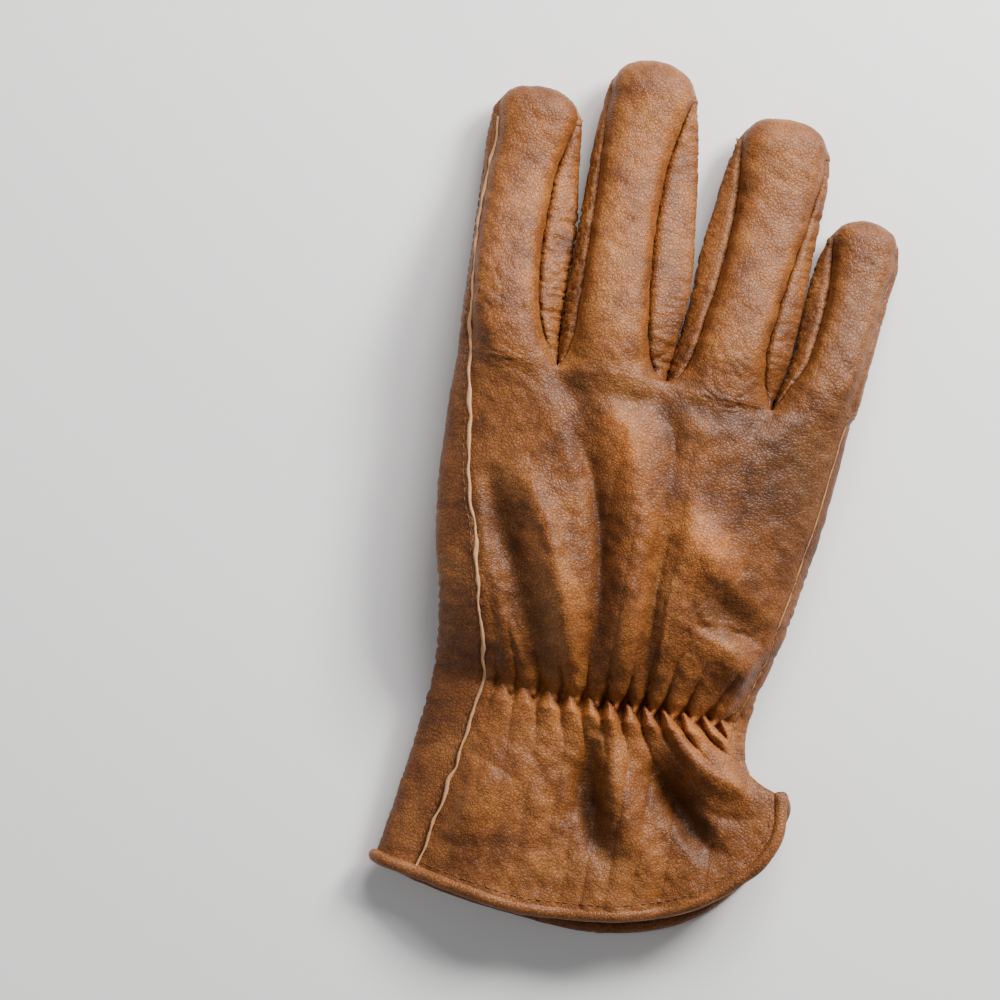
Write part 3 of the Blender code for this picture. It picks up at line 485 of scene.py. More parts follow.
def finger_front(name, across, along):
    """A finger's underside from seam to seam."""
    y, (left, left_seam, right_seam, right) = finger_plan(name, along)
    left_foot = mix(left_seam, left, 0.5)
    right_foot = mix(right_seam, right, 0.5)
    low = finger_heights(name, along)[1]
    x = mix(left_foot, right_foot, (1 + across) / 2)
    return seamed(name, "front", x, y, low, across, along)


def capped(line, name, across, along, cap):
    """A finger's face with its round tip. cap runs from 0, where the tip starts, to 1."""
    x, y, z = line(name, across, along)
    high, low, _, _ = finger_heights(name, along)
    middle = (high + low) / 2
    reach = FINGER_BASE[name][2] * FINGER_LENGTH[name]
    turn = cap * np.pi / 2
    y = y + reach * np.sqrt(1 - (0.96 * across) ** 2) * np.sin(turn)
    rim = np.sign(z - middle) * TIP_RIM
    return x, y, middle + rim + (z - middle - rim) * np.cos(turn)


def side_wall(top, edge, foot, down, roundness):
    """A side from its top seam, out to the edge in plan and back in to its foot."""
    bulge = np.sin(np.pi * down) ** roundness
    x = mix(top[0], foot[0], down)
    x = x + (edge - (top[0] + foot[0]) / 2) * bulge
    return x, mix(top[1], foot[1], down), mix(top[2], foot[2], down)


def path_distance(x, y, fold):
    """Distance to a fold's path and the share of the way along it."""
    points = np.array(fold[:6]).reshape(3, 2) * (PALM_WIDTH, HAND_LENGTH)
    t = np.linspace(0, 1, 9)[:, None]
    middle = 2 * points[1] - (points[0] + points[2]) / 2
    path = points[0] * (1 - t) ** 2 + 2 * middle * t * (1 - t) + points[2] * t * t
    best = np.full(np.shape(x), np.inf)
    share = np.zeros(np.shape(x))
    for i in range(len(path) - 1):
        run = path[i + 1] - path[i]
        at = ((x - path[i][0]) * run[0] + (y - path[i][1]) * run[1]) / (run @ run)
        at = np.clip(at, 0, 1)
        gap = np.hypot(x - path[i][0] - at * run[0], y - path[i][1] - at * run[1])
        share = np.where(gap < best, (i + at) / (len(path) - 1), share)
        best = np.minimum(best, gap)
    return best, share


def folds(x, y):
    """Height that the folds add to the back."""
    total = np.zeros(np.shape(x))
    for fold in FOLDS:
        gap, share = path_distance(x, y, fold)
        fade = np.clip(np.sin(np.pi * np.clip(share * 0.9 + 0.05, 0, 1)), 0, 1) ** 0.5
        width = fold[6] * PALM_WIDTH
        total += FOLD_STRENGTH * fold[7] * HAND_DEPTH * fade * np.exp(-((gap / width) ** 2))
    return total


def random_waves(x, y, length, seed, stretch=1.0, angle=0.0):
    """Smooth random field of about unit height, drawn out along an angle."""
    pick = np.random.default_rng(seed)
    c, s = math.cos(angle), math.sin(angle)
    u, v = (x * c + y * s) / stretch, y * c - x * s
    total = np.zeros(np.shape(x))
    for _ in range(WAVES):
        turn = pick.uniform(0, 2 * np.pi)
        wave = length * pick.uniform(0.6, 1.5)
        phase = pick.uniform(0, 2 * np.pi)
        total += np.cos(2 * np.pi / wave * (u * np.cos(turn) + v * np.sin(turn)) + phase)
    return total * math.sqrt(2 / WAVES)


def creases(x, y, length, seed, stretch=1.0, angle=0.0, sharp=0.22):
    """Thin lines that wander like the creases of worn leather, from 0 to 1."""
    return np.exp(-((random_waves(x, y, length, seed, stretch, angle) / sharp) ** 2))


def near(x, y, cx, cy, rx, ry):
    """1 at a centre and 0 far from it; centre and radii in millimetres."""
    return np.exp(-(((x / MM - cx) / rx) ** 2) - ((y / MM - cy) / ry) ** 2)


def fine_folds(x, y):
    """Height that the finer folds add to the back."""
    total = np.zeros(np.shape(x))
    for fold in FINE_FOLDS:
        row = np.array(fold, float)
        shares = (row[:6].reshape(3, 2) * MM / (PALM_WIDTH, HAND_LENGTH)).ravel()
        gap, share = path_distance(x, y, shares)
        fade = np.sin(np.pi * np.clip(share * 0.94 + 0.03, 0, 1)) ** 0.6
        total += FINE_STRENGTH * row[7] * MM * fade * np.exp(-((gap / (row[6] * MM)) ** 2))
    return total


def teeth(x, y, side):
    """Pointed ridges that start at the gathered wrist: below it with side -1, above it with side 1."""
    table = np.array(PETALS)
    spots = table[:, 0]
    numbers = np.arange(len(spots)) - (0.5 if side > 0 else 0.0)
    away = np.clip(side * y / MM + (3.2 if side > 0 else 1.2), 0, 26 if side > 0 else 17)
    u = x / MM
    for _ in range(7):
        lean, curl, splay = (np.interp(u, spots, table[:, k]) for k in (1, 2, 3))
        shift = splay * away if side > 0 else lean * away + curl * away**2
        u = 0.5 * u + 0.5 * (x / MM - shift)
    number = np.interp(u, spots, numbers)
    tall = np.interp(u, spots, table[:, 4])
    off = 2 * np.abs(number - np.round(number))
    width = 0.08 + 0.92 * np.clip(away / 6.5, 0, 1) ** 0.8
    crest = np.sqrt(np.clip(1 - (off / width) ** 2, 0, 1))
    fade = step(0, 1.6, away) * np.exp(-np.maximum(away - 6, 0) / (9.0 if side > 0 else 6.5))
    return tall * crest * fade


def petals(x, y):
    """Height of the pleats at the gathered wrist: petals below the line, ridges between them above it."""
    below, above = teeth(x, y, -1), teeth(x, y, 1)
    tall = np.interp(x / MM, [row[0] for row in PETALS], [row[4] for row in PETALS])
    sides = step(-37, -31, x / MM) * step(-43, -37, -x / MM)
    valley = 1.1 * tall * np.exp(-((y / MM / 9.0) ** 2))
    valley = valley + 0.9 * np.exp(-(((y / MM + 0.8) / 3.0) ** 2))
    return MM * (np.maximum(2.8 * below, 2.5 * above) - valley) * sides


def relief(points, across):
    """Adds the folds and the pleats of the back, which fade out towards the seams."""
    x, y = points[..., 0], points[..., 1]
    inside = np.minimum(step(0, 0.07, across), step(0, 0.05, 1 - across))
    top = 1 - step(0.93, 1.0, y / HAND_LENGTH)
    points[..., 2] += (folds(x, y) * top + fine_folds(x, y) + petals(x, y)) * inside
    return points


def roll_off(points, left, right):
    """Turns a grid's two side columns down into their seams."""
    for side, wanted in ((1, left), (-1, right)):
        if not wanted:
            continue
        grid = points[:, ::side]
        run = np.cumsum(np.linalg.norm(np.diff(grid[..., :2], axis=1), axis=2), axis=1)
        run = np.concatenate([np.zeros((len(grid), 1)), run], axis=1)
        grid[..., 2] -= wanted * np.exp(-((run / (1.1 * MM)) ** 2))
    return points


def hand_grid(across, along):
    """Back of the hand from seam to seam, from the wrist to the base of the fingers."""
    s = hand_section(along)
    x = mix(s["left_seam"], s["right_seam"], across)
    z = hand_back(x, along)
    base_x, base_y, base_z = four_bases(finger_back, across)
    near_base = step(0.72, 1.0, along)
    x = mix(x, base_x, near_base)
    y = mix(along * HAND_LENGTH, base_y, step(0.6, 1.0, along))
    return x, y, mix(z, base_z, near_base)


known_bases = {}


def four_bases(line, shares):
    """The row where the back or the palm of the hand becomes the four fingers, worked out once."""
    key = (line.__name__, shares.tobytes())
    if key not in known_bases:
        place = shares * len(NAMES)
        which = np.clip(np.floor(place).astype(int), 0, len(NAMES) - 1)
        rows = [line(name, 2 * (place - i) - 1, 0.0) for i, name in enumerate(NAMES)]
        known_bases[key] = tuple(np.choose(which, [row[axis] for row in rows]) for axis in range(3))
    return known_bases[key]


def hem_point(table, across):
    x, y, z = read(table, across)
    return x * PALM_WIDTH, y * CUFF_LENGTH, HEM_BEAD / 2 + np.maximum(z, 0) * CUFF_DEPTH


def cuff_grid(wrist, hem, out, bow):
    """Cuff between a point of the wrist and a point of the hem, with a bow in plan."""
    x = mix(hem[0], wrist[0], out) + bow[0] * out * (1 - out)
    y = mix(hem[1], wrist[1], out) + bow[1] * out * (1 - out)
    z = mix(hem[2], wrist[2], out**1.3)
    return x, y, z


def cuff_bow(across):
    """How far the cuff's lines from wrist to hem bow in plan, most at the corner by the little finger."""
    corner = step(0.72, 0.96, across)
    return 0.02 * PALM_WIDTH - 20 * MM * corner, -0.20 * CUFF_LENGTH * across**4 + 4 * MM * corner


def as_grid(rows):
    """Rows of (x, y, z) as an array of rows, columns and axes."""
    return np.array([np.broadcast_arrays(*row) for row in rows]).transpose(0, 2, 1)


def back_points(scale=1):
    """Rows of the back from the hem to the base of the fingers."""
    across = np.linspace(0, 1, len(NAMES) * (BACK_COLUMNS // scale) + 1)
    hem = hem_point(BACK_HEM, across)
    wrist = hand_grid(across, 0.0)
    rows = []
    for out in np.linspace(0.006, 1, CUFF_ROWS // scale + 1)[:-1]:
        x, y, z = cuff_grid(wrist, hem, out, cuff_bow(across))
        rows.append((x, y, z + (1 - out) * LEATHER / 2))
    rows += [hand_grid(across, along) for along in np.linspace(0, 1, HAND_ROWS // scale + 1)]
    return roll_off(relief(as_grid(rows), across), 0.4 * MM, 0.6 * MM)


def turns(scale=1):
    """Shares of a round tip, evenly turned."""
    return np.linspace(0, 1, CAP_ROWS // scale + 1)[1:]


def alongs(scale=1):
    return np.linspace(0, 1, FINGER_ROWS // scale + 1)[1:] ** 1.15


def finger_grid(line, name, columns, scale=1):
    """Rows of a finger's back or underside, from its base to its tip."""
    across = np.linspace(-1, 1, columns // scale + 1)
    rows = [capped(line, name, across, along, 0.0) for along in alongs(scale)]
    rows += [capped(line, name, across, 1.0, cap) for cap in turns(scale)]
    points = as_grid(rows)
    if line is finger_back:
        fade = np.concatenate([step(0.0, 0.08, alongs(scale)), 1 - turns(scale)])
        rolled = roll_off(points.copy(), SEAM_ROLL, SEAM_ROLL)
        points = points + (rolled - points) * fade[:, None, None]
    return points


def side_grid(name, side, scale=1, columns=SIDE_COLUMNS, pull=0.0, base=True):
    """Rows of the side of a finger, from the back's seam down to the front's."""
    down = np.linspace(0, 1, columns // scale + 1)
    end = -1.0 if side == "left" else 1.0
    rows = []
    places = [(along, 0.0) for along in alongs(scale)] + [(1.0, 0.9 * cap) for cap in turns(scale)]
    if base:
        places.insert(0, (0.0, 0.0))
    for along, cap in places:
        top = np.ravel(capped(finger_back, name, np.array([end]), along, cap))
        foot = np.ravel(capped(finger_front, name, np.array([end]), along, cap))
        edges = finger_plan(name, along)[1]
        edge = edges[0] if side == "left" else edges[3]
        touching = pull * step(0, 0.06, along) * (1 - step(0.45, 0.75, along))
        edge = mix((top[0] + foot[0]) / 2, edge, math.cos(cap * np.pi / 2)) + touching
        wall = side_wall(top, edge, foot, down, 0.8 if pull else 1.0)
        run = np.hypot(wall[0] - wall[0][0], wall[2] - wall[2][0])
        fade = step(0.0, 0.05, along) * math.cos(cap * np.pi / 2)
        rolled = 1.2 * SEAM_ROLL * fade * np.exp(-((run / (1.2 * MM)) ** 2))
        rows.append((wall[0], wall[1], wall[2] - rolled))
    return as_grid(rows)


class Skin:
    """A leather surface grown strip by strip, each from a part of an earlier last row."""

    def __init__(self, strip):
        self.strips, self.faces, self.count = [], [], 0
        self.last = self.grow(strip)

    def grow(self, strip, row=None):
        rows, columns = strip.shape[:2]
        index = np.arange(self.count, self.count + rows * columns).reshape(rows, columns)
        self.strips.append(strip.reshape(-1, 3))
        self.count += rows * columns
        if row is not None:
            index = np.vstack([row, index])
        quads = np.stack([index[:-1, :-1], index[:-1, 1:], index[1:, 1:], index[1:, :-1]], -1)
        self.faces.append(quads.reshape(-1, 4))
        return index[-1]

    def done(self, flip):
        points, faces = np.concatenate(self.strips), np.concatenate(self.faces)
        return points, faces[:, ::-1] if flip else faces


def summed(index, values, count):
    """Sums of the rows of values that share an index."""
    return np.stack([np.bincount(index, values[:, k], count) for k in range(3)], 1)


def unit(vectors):
    return vectors / np.maximum(np.linalg.norm(vectors, axis=1, keepdims=True), 1e-12)


def normals_of(points, faces):
    corners = points[faces]
    normal = np.cross(corners[:, 2] - corners[:, 0], corners[:, 3] - corners[:, 1])
    return unit(summed(faces.ravel(), np.repeat(normal, 4, axis=0), len(points)))


def evened(normals, faces):
    """Normals averaged with their neighbours', so that a pinched corner follows what is round it."""
    for _ in range(3):
        mean = np.repeat(normals[faces].mean(axis=1), 4, axis=0)
        normals = unit(summed(faces.ravel(), mean, len(normals)))
    return normals


def sheet_sides(faces, count):
    """Each side of a sheet's faces once, and whether it lies on the sheet's border."""
    sides = np.concatenate([faces[:, [k, (k + 1) % 4]] for k in range(4)])
    key = np.sort(sides, axis=1)
    _, first, uses = np.unique(key[:, 0] * count + key[:, 1], return_index=True, return_counts=True)
    return sides[first], uses == 1


def cut_edges(points, faces, normals, thickness):
    """The band round a sheet's border, from its outer side to its flesh side."""
    sides, outer = sheet_sides(faces, len(points))
    border = sides[outer]
    ring, place = np.unique(border.ravel(), return_inverse=True)
    place = place.reshape(-1, 2) + len(points)
    inner = points[ring] - normals[ring] * thickness
    return inner, np.stack([border[:, 1], border[:, 0], place[:, 0], place[:, 1]], 1)


def mesh_piece(name, points, faces, materials, which=None):
    """An object from points laid out from the wrist. which gives each face's material."""
    mesh = bpy.data.meshes.new(name)
    faces = faces if isinstance(faces, list) else faces.tolist()
    mesh.from_pydata((points + ORIGIN).tolist(), [], faces)
    for material in materials:
        mesh.materials.append(material)
    if which is not None:
        mesh.polygons.foreach_set("material_index", np.asarray(which, np.int32))
    mesh.shade_smooth()
    mesh.update()
    piece = bpy.data.objects.new(name, mesh)
    bpy.context.scene.collection.objects.link(piece)
    return piece


def smoothed(points, faces, weight, times):
    """Evens a surface out where the weight is near 1, and leaves its border where it is."""
    sides, outer = sheet_sides(faces, len(points))
    fixed = np.zeros(len(points), bool)
    fixed[sides[outer].ravel()] = True
    a, b = sides.T
    ends, others = np.concatenate([a, b]), np.concatenate([b, a])
    number = np.maximum(np.bincount(ends, minlength=len(points)), 1)
    share = (weight * ~fixed * 0.6)[:, None]
    for _ in range(times):
        mean = summed(ends, points[others], len(points)) / number[:, None]
        points = points + share * (mean - points)
    return points


def dressed(piece, node):
    """Lets a piece of the scene stand for a node of the part."""
    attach(piece, "root")
    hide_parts(node)


def leather_piece(node, grow, flip, detail, material, coarse=2, base_smoothing=0):
    """A piece of leather: its fine outer side, its cut edges and a plainer flesh side."""
    points, faces = grow(1).done(flip)
    if base_smoothing:
        weight = np.exp(-(((points[:, 1] - HAND_LENGTH) / (7 * MM)) ** 2))
        points = smoothed(points, faces, weight, base_smoothing)
    normals = normals_of(points, faces)
    points = points + normals * detail(points)[:, None]
    normals = normals_of(points, faces)
    rim, band = cut_edges(points, faces, evened(normals, faces), LEATHER)
    under, under_faces = grow(coarse).done(flip)
    under = under - evened(normals_of(under, under_faces), under_faces) * 1.5 * LEATHER
    if node == "back_panel":
        under[:, 2] -= 3.0 * MM * np.exp(-((under[:, 1] / (9 * MM)) ** 2))
    start = len(points) + len(rim)
    everything = np.concatenate([points, rim, under])
    quads = np.concatenate([faces, band, under_faces[:, ::-1] + start])
    which = np.repeat([0, 1, 1], [len(faces), len(band), len(under_faces)])
    piece = mesh_piece("seen_" + node, everything, quads, [material, FLESH], which)
    # Each point's colour factor, with the painted shade and light of the folds and patches
    tones = piece.data.attributes.new("tone", "FLOAT", "POINT")
    tones.data.foreach_set("value", painted_shade_and_tone(everything).astype(np.float32))
    dressed(piece, node)
    return piece


def back_detail(points):
    """Creases of the back: fine ones all over, and deeper ones at the knuckles and the wrist."""
    x, y, _ = points.T
    small = 0.15 * creases(x, y, 4.2 * MM, 1) + 0.07 * random_waves(x, y, 6 * MM, 2)
    knuckles = near(x, y, 20, 105, 16, 14) + near(x, y, -50, 110, 10, 22)
    knuckles = knuckles + 0.8 * near(x, y, 25, 95, 14, 8)
    slanted = 0.34 * creases(x, y, 4.5 * MM, 3, 2.2, 2.2) * np.clip(knuckles, 0, 1)
    wrist = near(x, y, 24, 22, 12, 14) + near(x, y, -45, 25, 14, 22)
    gathered = 0.40 * creases(x, y, 3.2 * MM, 4, 2.5, 1.2) * np.clip(wrist, 0, 1)
    middle = 0.30 * creases(x, y, 3.4 * MM, 5, 3.5, 1.55) * near(x, y, 11, 35, 4, 30)
    soft = 0.07 * random_waves(x, y, 11 * MM, 6)
    return -MM * (small + slanted + gathered + middle + soft)


def painted_shade_and_tone(points):
    """Colour factor of the leather: painted shade darkens the fold valleys and painted light brightens
    their crests, and the patches of the table make parts darker or lighter.
    """
    x, y, _ = points.T
    tone = np.zeros(len(x))
    for cx, cy, rx, ry, amount in SHADE_AND_TONE_PATCHES:
        tone += amount * near(x, y, cx, cy, rx, ry)
    on_back = (y < HAND_LENGTH) * (y > -CUFF_LENGTH)
    # Painted shade in the valleys of the folds and pleats, painted light on their crests
    height = (folds(x, y) + fine_folds(x, y) + 0.6 * petals(x, y)) / MM * on_back
    return np.clip(1 + tone + 0.10 * np.clip(height, -3.5, 1.5), 0.3, 1.9)


def side_detail(points):
    """Cross wrinkles of the palm leather where it wraps round to the back."""
    x, y, _ = points.T
    wrinkled = np.exp(-(((y / MM - 10) / 26) ** 2)) + 0.35
    across = 0.55 * creases(x, y, 3.0 * MM, 11, 5.0, 0.1, 0.3) * wrinkled
    small = 0.08 * creases(x, y, 4.2 * MM, 12) + 0.05 * random_waves(x, y, 6 * MM, 13)
    return -MM * (across + small)


def strip_detail(points):
    """Wrinkles across the strips between the fingers."""
    x, y, z = points.T
    deep = 0.38 + 0.7 * near(x, y, -34, 125, 9, 26) + 0.4 * near(x, y, 0, 102, 6, 10)
    lines = creases(x + z, y, 2.8 * MM, 21, 3.5, 0.35, 0.35)
    return -MM * (deep * lines + 0.06 * random_waves(x, y, 5 * MM, 22))


def plain_detail(points):
    """Faint creases and waves of the pieces that the palm hides."""
    x, y, _ = points.T
    return -MM * (0.09 * creases(x, y, 4.5 * MM, 31) + 0.10 * random_waves(x, y, 12 * MM, 32))


def back_skin(scale):
    skin = Skin(back_points(scale))
    last = skin.last
    columns = BACK_COLUMNS // scale
    for i, name in enumerate(NAMES):
        row = last[i * columns : (i + 1) * columns + 1]
        skin.grow(finger_grid(finger_back, name, BACK_COLUMNS, scale), row)
    return skin


def palm_row(along, scale):
    """One row of the palm, from the left seam down, across and up to the right seam."""
    s = hand_section(along)
    down = np.linspace(0, 1, SIDE_COLUMNS // scale + 1)
    flat = np.linspace(0, 1, FRONT_COLUMNS // scale * len(NAMES) + 1)
    near_base = step(0.72, 1.0, along)
    base = four_bases(finger_front, flat)
    x = mix(mix(s["left"] + FOOT_INSET, s["right"] - FOOT_INSET, flat), base[0], near_base)
    z = mix(hand_palm(x, along), base[2], near_base)
    y = mix(along * HAND_LENGTH, base[1], step(0.6, 1.0, along)) + 0 * x
    left, right = (np.ravel(hand_grid(np.array([side]), along)) for side in (0.0, 1.0))
    left_wall = side_wall(left, s["left"], (x[0], y[0], z[0]), down, 1.0)
    right_wall = side_wall(right, s["right"], (x[-1], y[-1], z[-1]), down, 1.0)
    left_wall, right_wall = (as_grid([wall])[0] for wall in (left_wall, right_wall))
    return np.vstack([left_wall[:-1], np.array([x, y, z]).T, right_wall[::-1][1:]])


def palm_points(scale):
    """Rows of the palm from the hem to the base of the fingers."""
    wrist = palm_row(0.0, scale)
    across = np.linspace(0, 1, len(wrist))
    hem = hem_point(PALM_HEM, across)
    rows = []
    for out in np.linspace(0.006, 1, CUFF_ROWS // (2 * scale) + 1)[:-1]:
        x, y, z = cuff_grid(wrist.T, hem, out, cuff_bow(across))
        rows.append(np.array([x, y, z - (1 - out) * LEATHER / 2]).T)
    rows += [palm_row(along, scale) for along in np.linspace(0, 1, HAND_ROWS // (2 * scale) + 1)]
    return np.array(rows)


def palm_skin(scale):
    skin = Skin(palm_points(scale))
    base = skin.last
    side, front = SIDE_COLUMNS // scale, FRONT_COLUMNS // scale
    last = len(base) - side - front - 1
    for name, edge, first in (("index", "left", 0), ("little", "right", last)):
        wall = side_grid(name, edge, scale, base=False)
        under = finger_grid(finger_front, name, FRONT_COLUMNS, scale)
        if edge == "left":
            strip = np.concatenate([wall[:, :-1], under], axis=1)
        else:
            strip = np.concatenate([under, wall[:, ::-1][:, 1:]], axis=1)
        skin.grow(strip, base[first : first + side + front + 1])
    return skin


def front_skin(name, scale):
    across = np.linspace(-1, 1, FRONT_COLUMNS // scale + 1)
    base = as_grid([finger_front(name, across, 0.004)])
    return Skin(np.concatenate([base, finger_grid(finger_front, name, FRONT_COLUMNS, scale)]))


def strip_skin(left, right, scale):
    """The strip up one finger's side, round the crotch and up the other's."""
    pull = 0.4 * MM
    one = side_grid(left, "right", scale, STRIP_COLUMNS, pull)
    other = side_grid(right, "left", scale, STRIP_COLUMNS, -pull, base=False)
    return Skin(np.concatenate([one[::-1], other]))


def thumb_plan(along):
    left, right = read(THUMB_OUTLINE, along) * THUMB_WIDTH + THUMB_HOLE_X
    return left, right, THUMB_START + along * THUMB_LENGTH


def thumb_section(across, along, cap, face):
    """A half of the thumb's section under the palm, flattened where it lies on the ground."""
    left, right, y = thumb_plan(along)
    middle = THUMB_DEPTH / 2
    wide = np.sin(across * np.pi / 2)
    tall = np.abs(np.cos(across * np.pi / 2)) ** 0.7
    x = mix(left, right, (1 + wide) / 2)
    turn = cap * np.pi / 2
    reach = (1 - THUMB_OUTLINE[-1][0]) * THUMB_LENGTH
    y = y + reach * np.sqrt(1 - (0.96 * wide) ** 2) * np.sin(turn)
    if face == "outer":
        z = np.maximum(middle - (middle + THUMB_FLATTENING) * tall * np.cos(turn), 0)
    else:
        z = middle + (middle - THUMB_CLEARANCE) * tall * np.cos(turn)
    return np.array([x, y + 0 * x, z])


def thumb_skin(face, scale):
    """From the hole in the palm, down and forward under it, to the tip."""
    across = np.linspace(-1, 1, THUMB_COLUMNS // scale + 1)
    sign = -1 if face == "outer" else 1
    angle = (across - 1) * np.pi / 2
    x = THUMB_HOLE_X + THUMB_HOLE_WIDTH / 2 * np.cos(angle)
    y = THUMB_HOLE_Y - sign * THUMB_HOLE_LENGTH / 2 * np.sin(angle)
    palm = np.array([hand_palm(px, py / HAND_LENGTH) for px, py in zip(x, y)])
    rim = np.array([x, y, palm])
    first = thumb_section(across, THUMB_OUTLINE[0][0], 0, face)
    bulge = (face == "outer") * THUMB_BULGE * np.cos(across * np.pi / 2)
    down = rim - np.array([0 * x, bulge, 0.7 * (rim[2] - first[2])])
    back = first - np.array([0 * x, 0.75 * (first[1] - rim[1]), 0 * x])
    rows = []
    for t in np.linspace(0, 1, THUMB_BEND_ROWS // scale + 1)[:-1] ** 1.2:
        start = rim * (1 - t) ** 3 + 3 * down * t * (1 - t) ** 2
        rows.append(start + 3 * back * t * t * (1 - t) + first * t**3)
    places = np.linspace(THUMB_OUTLINE[0][0], THUMB_OUTLINE[-1][0], THUMB_ROWS // scale + 1)
    rows += [thumb_section(across, along, 0, face) for along in places]
    rows += [thumb_section(across, places[-1], cap, face) for cap in turns(scale)]
    points = np.array(rows).transpose(0, 2, 1)
    roof = hand_palm(points[..., 0], points[..., 1] / HAND_LENGTH)
    points[1:, :, 2] = np.clip(points[1:, :, 2], 0, roof[1:] - THUMB_CLEARANCE / 2)
    return Skin(points)


def tube(name, path, across, materials, closed=False, corners=14):
    """A round strip along a path of points. across gives its two half widths at each point."""
    path = np.asarray(path)
    run = np.roll(path, -1, 0) - np.roll(path, 1, 0) if closed else np.gradient(path, axis=0)
    run /= np.linalg.norm(run, axis=1, keepdims=True)
    side = np.cross(run, (0, 0, 1))
    side /= np.linalg.norm(side, axis=1, keepdims=True)
    up = np.cross(side, run)
    turn = np.linspace(0, 2 * np.pi, corners, endpoint=False)
    wide, tall = (np.broadcast_to(value, len(path))[:, None, None] for value in across)
    rings = path[:, None] + np.cos(turn)[None, :, None] * side[:, None] * wide
    rings = rings + np.sin(turn)[None, :, None] * up[:, None] * tall
    count = len(path)
    index = np.arange(count * corners).reshape(count, corners)
    around = np.roll(index, -1, 1)
    if closed:
        index, around = np.vstack([index, index[:1]]), np.vstack([around, around[:1]])
    faces = np.stack([index[:-1], index[1:], around[1:], around[:-1]], -1).reshape(-1, 4).tolist()
    if not closed:
        faces += [index[0].tolist(), index[-1][::-1].tolist()]
    return mesh_piece(name, rings.reshape(-1, 3), faces, materials)


def evenly(path, pitch):
    """Points along a path at an even pitch."""
    path = np.asarray(path)
    run = np.concatenate([[0], np.cumsum(np.linalg.norm(np.diff(path, axis=0), axis=1))])
    at = np.linspace(0, run[-1], max(2, int(run[-1] / pitch) + 1))
    return np.stack([np.interp(at, run, path[:, k]) for k in range(3)], 1)


# A stitch, as rings along it. share: of the way from hole to hole. lift, thick: in threads.
STITCH = (
    # share, lift, thick
    (0.10, -0.9, 0.5),
    (0.25, 0.1, 1.0),
    (0.50, 0.35, 1.1),
    (0.75, 0.1, 1.0),
    (0.90, -0.9, 0.5),
)
STITCH_CORNERS = 6


def stitches(name, paths, pitch, thread, material):
    """A row of stitches along each path, joined in one mesh."""
    points, faces = [], []
    turns_round = np.arange(STITCH_CORNERS) * 2 * np.pi / STITCH_CORNERS
    for path in paths:
        spots = evenly(path, pitch)
        for a, b in zip(spots[:-1], spots[1:]):
            run = b - a
            side = np.cross(run, (0, 0, 1))
            side /= max(np.linalg.norm(side), 1e-9)
            up = np.cross(side, run / np.linalg.norm(run))
            rings = []
            for share, lift, thick in STITCH:
                middle = a + run * share + up * lift * thread
                rings.append(range(len(points), len(points) + STITCH_CORNERS))
                for t in turns_round:
                    points.append(middle + thread * thick * (math.cos(t) * side + math.sin(t) * up))
            for ring, after in zip(rings[:-1], rings[1:]):
                for c in range(STITCH_CORNERS):
                    d = (c + 1) % STITCH_CORNERS
                    faces.append([ring[c], after[c], after[d], ring[d]])
            faces.append(list(rings[0]))
            faces.append(list(rings[-1])[::-1])
    return mesh_piece(name, np.array(points), faces, [material])


# Cells of the grain to a metre, and the strength of its bump
GRAIN_SCALE = 880.0
GRAIN_BUMP = 0.5


def new_material(name):
    material = bpy.data.materials.new(name)
    material.use_nodes = True
    nodes, links = material.node_tree.nodes, material.node_tree.links
    return material, nodes, links, nodes["Principled BSDF"]


def noise(nodes, links, place, scale, detail, rough):
    node = nodes.new("ShaderNodeTexNoise")
    node.inputs["Scale"].default_value = scale
    node.inputs["Detail"].default_value = detail
    node.inputs["Roughness"].default_value = rough
    links.new(place, node.inputs["Vector"])
    return node.outputs["Fac"]


def ramp(nodes, links, value, stops):
    node = nodes.new("ShaderNodeValToRGB")
    line = node.color_ramp
    while len(line.elements) < len(stops):
        line.elements.new(0.5)
    for element, (at, colour) in zip(line.elements, stops):
        element.position = at
        element.color = (*colour, 1) if isinstance(colour, tuple) else (colour, colour, colour, 1)
    links.new(value, node.inputs["Fac"])
    return node.outputs["Color"]


def maths(nodes, links, operation, a, b):
    node = nodes.new("ShaderNodeMath")
    node.operation = operation
    for socket, value in zip(node.inputs, (a, b)):
        if isinstance(value, (int, float)):
            socket.default_value = value
        else:
            links.new(value, socket)
    return node.outputs["Value"]


def blended(nodes, links, mode, share, a, b):
    node = nodes.new("ShaderNodeMix")
    node.data_type = "RGBA"
    node.blend_type = mode
    for socket, value in ((node.inputs[0], share), (node.inputs[6], a), (node.inputs[7], b)):
        if isinstance(value, (int, float)):
            socket.default_value = value
        elif isinstance(value, tuple):
            socket.default_value = (*value, 1)
        else:
            links.new(value, socket)
    return node.outputs[2]


